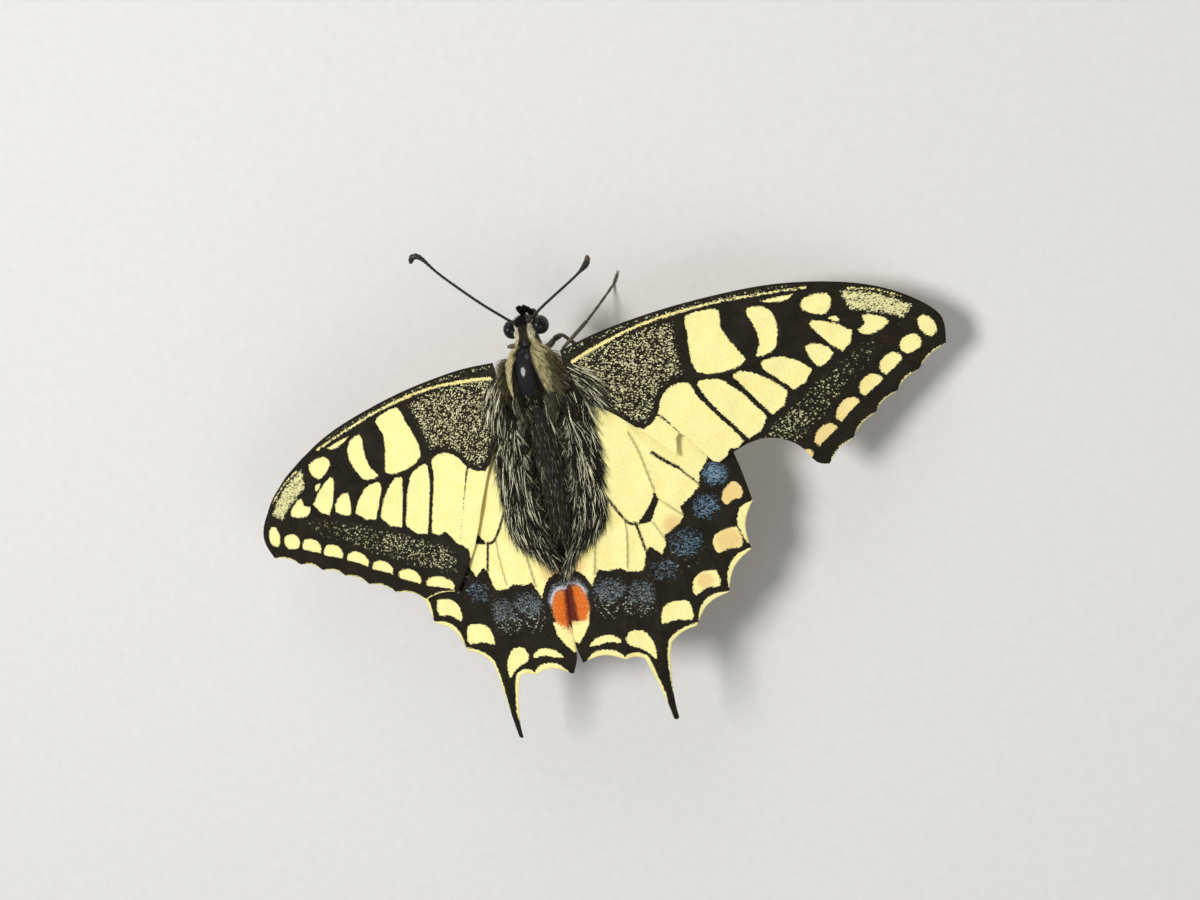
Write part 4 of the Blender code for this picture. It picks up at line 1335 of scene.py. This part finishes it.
def palpHairs(coat, side, count):
    # short hair all round the palp, pointing along it
    line = palpLine(side)
    t = dice.random(count) * (len(line) - 1)
    index = np.minimum(t.astype(int), len(line) - 2)
    steps = np.diff(line, axis=0)[index]
    ahead = unit(steps)
    across = unit(np.cross(ahead, (1.0, 0.0, 0.0)))
    turn = dice.uniform(0, 2 * math.pi, count)[:, None]
    outwards = across * np.cos(turn) + np.cross(ahead, across) * np.sin(turn)
    roots = line[index] + steps * (t - index)[:, None] + outwards * 0.18
    # its unwrap lies below the head's own
    start = 0.6 if side == "right" else 0.1
    spread = np.stack([turn.ravel() / (2 * math.pi) * 0.3 + start, t / len(line) * 0.3 + 0.2], 1)
    spans = ((0.4, 0.75), (0.02, 0.035), (0.3, 0.7))
    addHairs(coat, roots, outwards, ahead, spans, np.zeros(count), spread)


def hairFinish(name, dark, middle, pale):
    hair = Finish(name, Specular_IOR_Level=0.12)
    place = hair.place()
    tint = (hair.number("tint") + (hair.noise(place, 2500.0) - 0.5) * 0.25).clamped()
    colour = hair.mix(tint.step(0.0, 0.5), dark, middle)
    colour = hair.mix(tint.step(0.5, 1.0), colour, pale)
    colour = hair.mix(hair.number("along") * tint * 0.3, colour, pale)
    return hair.finished(colour, 0.62 - tint * 0.1)


rootZone = [(0.1, -0.3), (1.4, -0.5), (2.6, -2.2), (2.8, -4.3), (1.2, -3.7), (0.5, -2.2)]


def alongHindwing(points):
    # rearwards and a little out near the root, turning in towards the abdomen's tip
    inwards = -0.5 * fade(points[:, 1], -8.5, -15.0) + 0.2 * fade(points[:, 1], -9.0, -3.0)
    return unit(np.stack([inwards, -np.ones(len(points))], 1))


def overAbdomen(points):
    # from the wing's inner margin slantwise over the abdomen's flank
    inwards = -0.5 - 0.2 * fade(points[:, 1], -11.0, -14.0)
    return unit(np.stack([inwards, -np.ones(len(points))], 1))


def alongForewing(points):
    return unit(np.stack([0.9 + 0.1 * points[:, 1], -0.55 + 0.1 * points[:, 1]], 1))


hairColours = {
    "bodyHair": ((0.013, 0.012, 0.007, 1), (0.095, 0.09, 0.048, 1), (0.92, 0.88, 0.60, 1)),
    "bandHair": ((0.012, 0.010, 0.006, 1), (0.30, 0.25, 0.11, 1), (0.80, 0.71, 0.40, 1)),
    "headHair": ((0.012, 0.010, 0.006, 1), (0.30, 0.25, 0.11, 1), (1.0, 0.95, 0.72, 1)),
}
# Each lot: how many hairs, where along the body and round it from the top, their length, width and
# rise, how far they lie outwards and forwards, their tint, or none where it comes from the place,
# and what is added to it.
coats = {
    "head_coat": {
        "hair": "headHair",
        "slot": "head_hair",
        "clumps": (3, 0.5, 2, 0.0),
        "lots": [
            (2600, (2.9, 4.5), (0.0, 2.2), (0.3, 0.5), 0.03, 0.9, 0.2, 0.2, None, 0.1),
            (2600, (3.9, 4.8), (0.5, 2.6), (0.5, 0.95), 0.035, 0.7, 0.1, 1.0, None, -0.25),
            (1100, (4.0, 4.83), (0.0, 0.9), (0.6, 1.2), 0.035, 0.7, 0.1, 1.0, 0.0, 0),
            (2400, (2.9, 4.4), (1.9, math.pi), (0.35, 0.6), 0.035, 0.7, 0.1, 0.3, None, 0),
        ],
        "palps": 900,
    },
    "collar_coat": {
        "hair": "bandHair",
        "slot": "body_hair",
        "clumps": (3, 0.9, 2, 0.1),
        "lots": [
            (5600, (-3.8, 3.1), (0.3, 1.6), (0.6, 1.1), 0.045, 0.7, 0.35, 0.0, None, -0.02),
            (1500, (-2.2, 1.2), (1.0, 1.5), (1.0, 1.9), 0.045, 1.7, 0.15, 0.1, 0.2, 0),
        ],
    },
    "thorax_coat": {
        "hair": "bodyHair",
        "slot": "body_hair",
        "clumps": (3, 0.9, 3),
        "lots": [
            (260, (-4.6, -2.6), (0.0, 0.4), (0.4, 0.8), 0.03, 0.3, 0.1, 0.0, 0.03, 0),
            (1700, (-4.4, 0.4), (0.9, 1.5), (2.0, 4.0), 0.045, 0.4, 0.9, 0.0, 0.4, 0),
            (1300, (-4.7, -2.2), (0.55, 1.2), (2.4, 4.2), 0.05, 0.35, 0.15, 0.0, 0.4, 0),
        ],
    },
    "belly_coat": {
        "hair": "bodyHair",
        "slot": "body_hair",
        "clumps": (3, 0.5, 1),
        "lots": [(9500, (-4.8, 2.7), (1.5, math.pi), (0.6, 1.1), 0.04, 0.5, 0.2, 0.0, None, 0)],
    },
    "abdomen_coat": {
        "hair": "bodyHair",
        "slot": "body_hair",
        "clumps": (3, 0.6, 2),
        "lots": [
            (9500, (-20.1, -4.6), (0.0, math.pi), (0.5, 0.9), 0.03, 0.35, 0.08, 0.0, None, 0.17),
            (2600, (-17.0, -5.0), (0.8, 1.7), (1.8, 3.0), 0.045, 0.3, 0.3, 0.0, 0.15, 0),
            (90, (-16.0, -7.0), (1.05, 1.2), (3.0, 4.2), 0.05, 0.15, 0.05, 0.0, 0.9, 0),
            (3600, (-20.2, -5.0), (0.85, 1.7), (1.1, 1.8), 0.045, 1.5, 0.1, 0.0, 0.12, 0),
            (3000, (-20.35, -17.5), (0.7, 1.9), (0.9, 1.6), 0.045, 1.3, 0.1, 0.0, 0.12, 0),
            (3500, (-20.38, -19.7), (0.0, 2.6), (0.9, 1.7), 0.04, 0.9, 0.1, 0.0, 0.3, 0),
        ],
    },
}
# The wing roots' lots: how many hairs, their length, width, rise and tint.
wingLots = {
    "zone": (5200, (2.2, 4.2), 0.05, 0.18, 0.08),
    "edge": (2000, (1.0, 2.2), 0.05, 0.1, 0.12),
    "root": (600, (1.4, 3.2), 0.045, 0.25, 0.3),
}


def makeCoats():
    hairs = {name: hairFinish(name, *colours) for name, colours in hairColours.items()}
    for name, plan in coats.items():
        coat = newCoat(*plan["clumps"])
        for lot in plan["lots"]:
            bodyHairs(coat, *lot)
        if "palps" in plan:
            for side in sides:
                palpHairs(coat, side, plan["palps"])
        growHairs(name, coat, hairs[plan["hair"]])
    for side in sides:
        coat = newCoat(4, 1.2, 2)
        hind = (coat, side, hindwing, hindwingHeight)
        wingHairs(*hind, hairZone(side), alongHindwing, *wingLots["zone"])
        wingHairs(*hind, marginZone(side), overAbdomen, *wingLots["edge"])
        wingHairs(coat, side, forewing, forewingHeight, rootZone, alongForewing, *wingLots["root"])
        growHairs("wing_root_hair_" + side, coat, hairs["bodyHair"])


shell = skinFinish()
makeBody(shell)
lens = eyeFinish()
feelerHorn = feelerFinish()
legHorn = shellFinish("legHorn", (0.014, 0.012, 0.009, 1), (0.17, 0.135, 0.065, 1), 0.4, 7000.0)
makeProboscis(feelerHorn)
for side in sides:
    makeEye(side, lens)
    makeFeeler(side, feelerHorn)
    makePalp(side, shell)
for name in legs:
    makeLeg(name, legHorn)
makeCoats()


# Camera, floor and light.
camera = {
    "from": (73.587, 13.066, 185.855),
    "back": (0.33978, 0.11417, 0.93355),
    "up": (0.141, 0.9752, -0.17058),
    "view": 34.257,
}
lights = {
    "key": {"place": (-0.18, 0.10, 0.44), "size": 0.18, "power": 2.0},
    "fill": {"place": (0.35, -0.25, 0.30), "size": 0.40, "power": 0.7},
    "rim": {"place": (0.05, 0.45, 0.22), "size": 0.25, "power": 0.5},
}
stage = {
    "reach": 1.5,
    "floor": (0.60, 0.59, 0.57, 1),
    "speckle": (0.66, 0.65, 0.63, 1),
    "room": (0.95, 0.97, 1.0, 1),
    "roomLight": 0.28,
}


def aim(thing, side, up, back, place):
    # its own axes and its place are the columns of its matrix
    matrix = np.eye(4)
    matrix[:3, :4] = np.stack([side, up, back, place], 1)
    thing.matrix_world = matrix.T.tolist()


def makeCamera():
    back, up = unit(np.array(camera["back"])), unit(np.array(camera["up"]))
    right = unit(np.cross(up, back))
    data = bpy.data.cameras.new("camera")
    data.sensor_fit = "HORIZONTAL"
    data.angle = math.radians(camera["view"])
    data.clip_start = 0.01
    eye = inScene("camera", data)
    aim(eye, right, np.cross(back, right), back, (np.array(camera["from"]) + bodyOrigin) * mm)
    bpy.context.scene.camera = eye


def makeStage():
    floor = Finish("paleFloor")
    speckle = floor.noise(floor.place(), 900.0)
    finish = floor.finished(floor.mix(speckle, stage["floor"], stage["speckle"]), 0.8)
    mesh = bpy.data.meshes.new("floor")
    reach = stage["reach"]
    corners = [(-reach, -reach, 0), (reach, -reach, 0), (reach, reach, 0), (-reach, reach, 0)]
    mesh.from_pydata(corners, [], [(0, 1, 2, 3)])
    mesh.materials.append(finish)
    inScene("floor", mesh)
    for name, plan in lights.items():
        data = bpy.data.lights.new(name, "AREA")
        data.shape = "DISK"
        data.size = plan["size"]
        data.energy = plan["power"]
        back = unit(np.array(plan["place"]))
        side = unit(np.cross((0.0, 1.0, 0.01), back))
        aim(inScene(name, data), side, np.cross(back, side), back, plan["place"])
    world = bpy.data.worlds.new("softRoom")
    world.use_nodes = True
    room = world.node_tree.nodes["Background"].inputs
    room["Color"].default_value = stage["room"]
    room["Strength"].default_value = stage["roomLight"]
    bpy.context.scene.world = world
    bpy.context.scene.view_settings.view_transform = "Standard"


makeCamera()
makeStage()
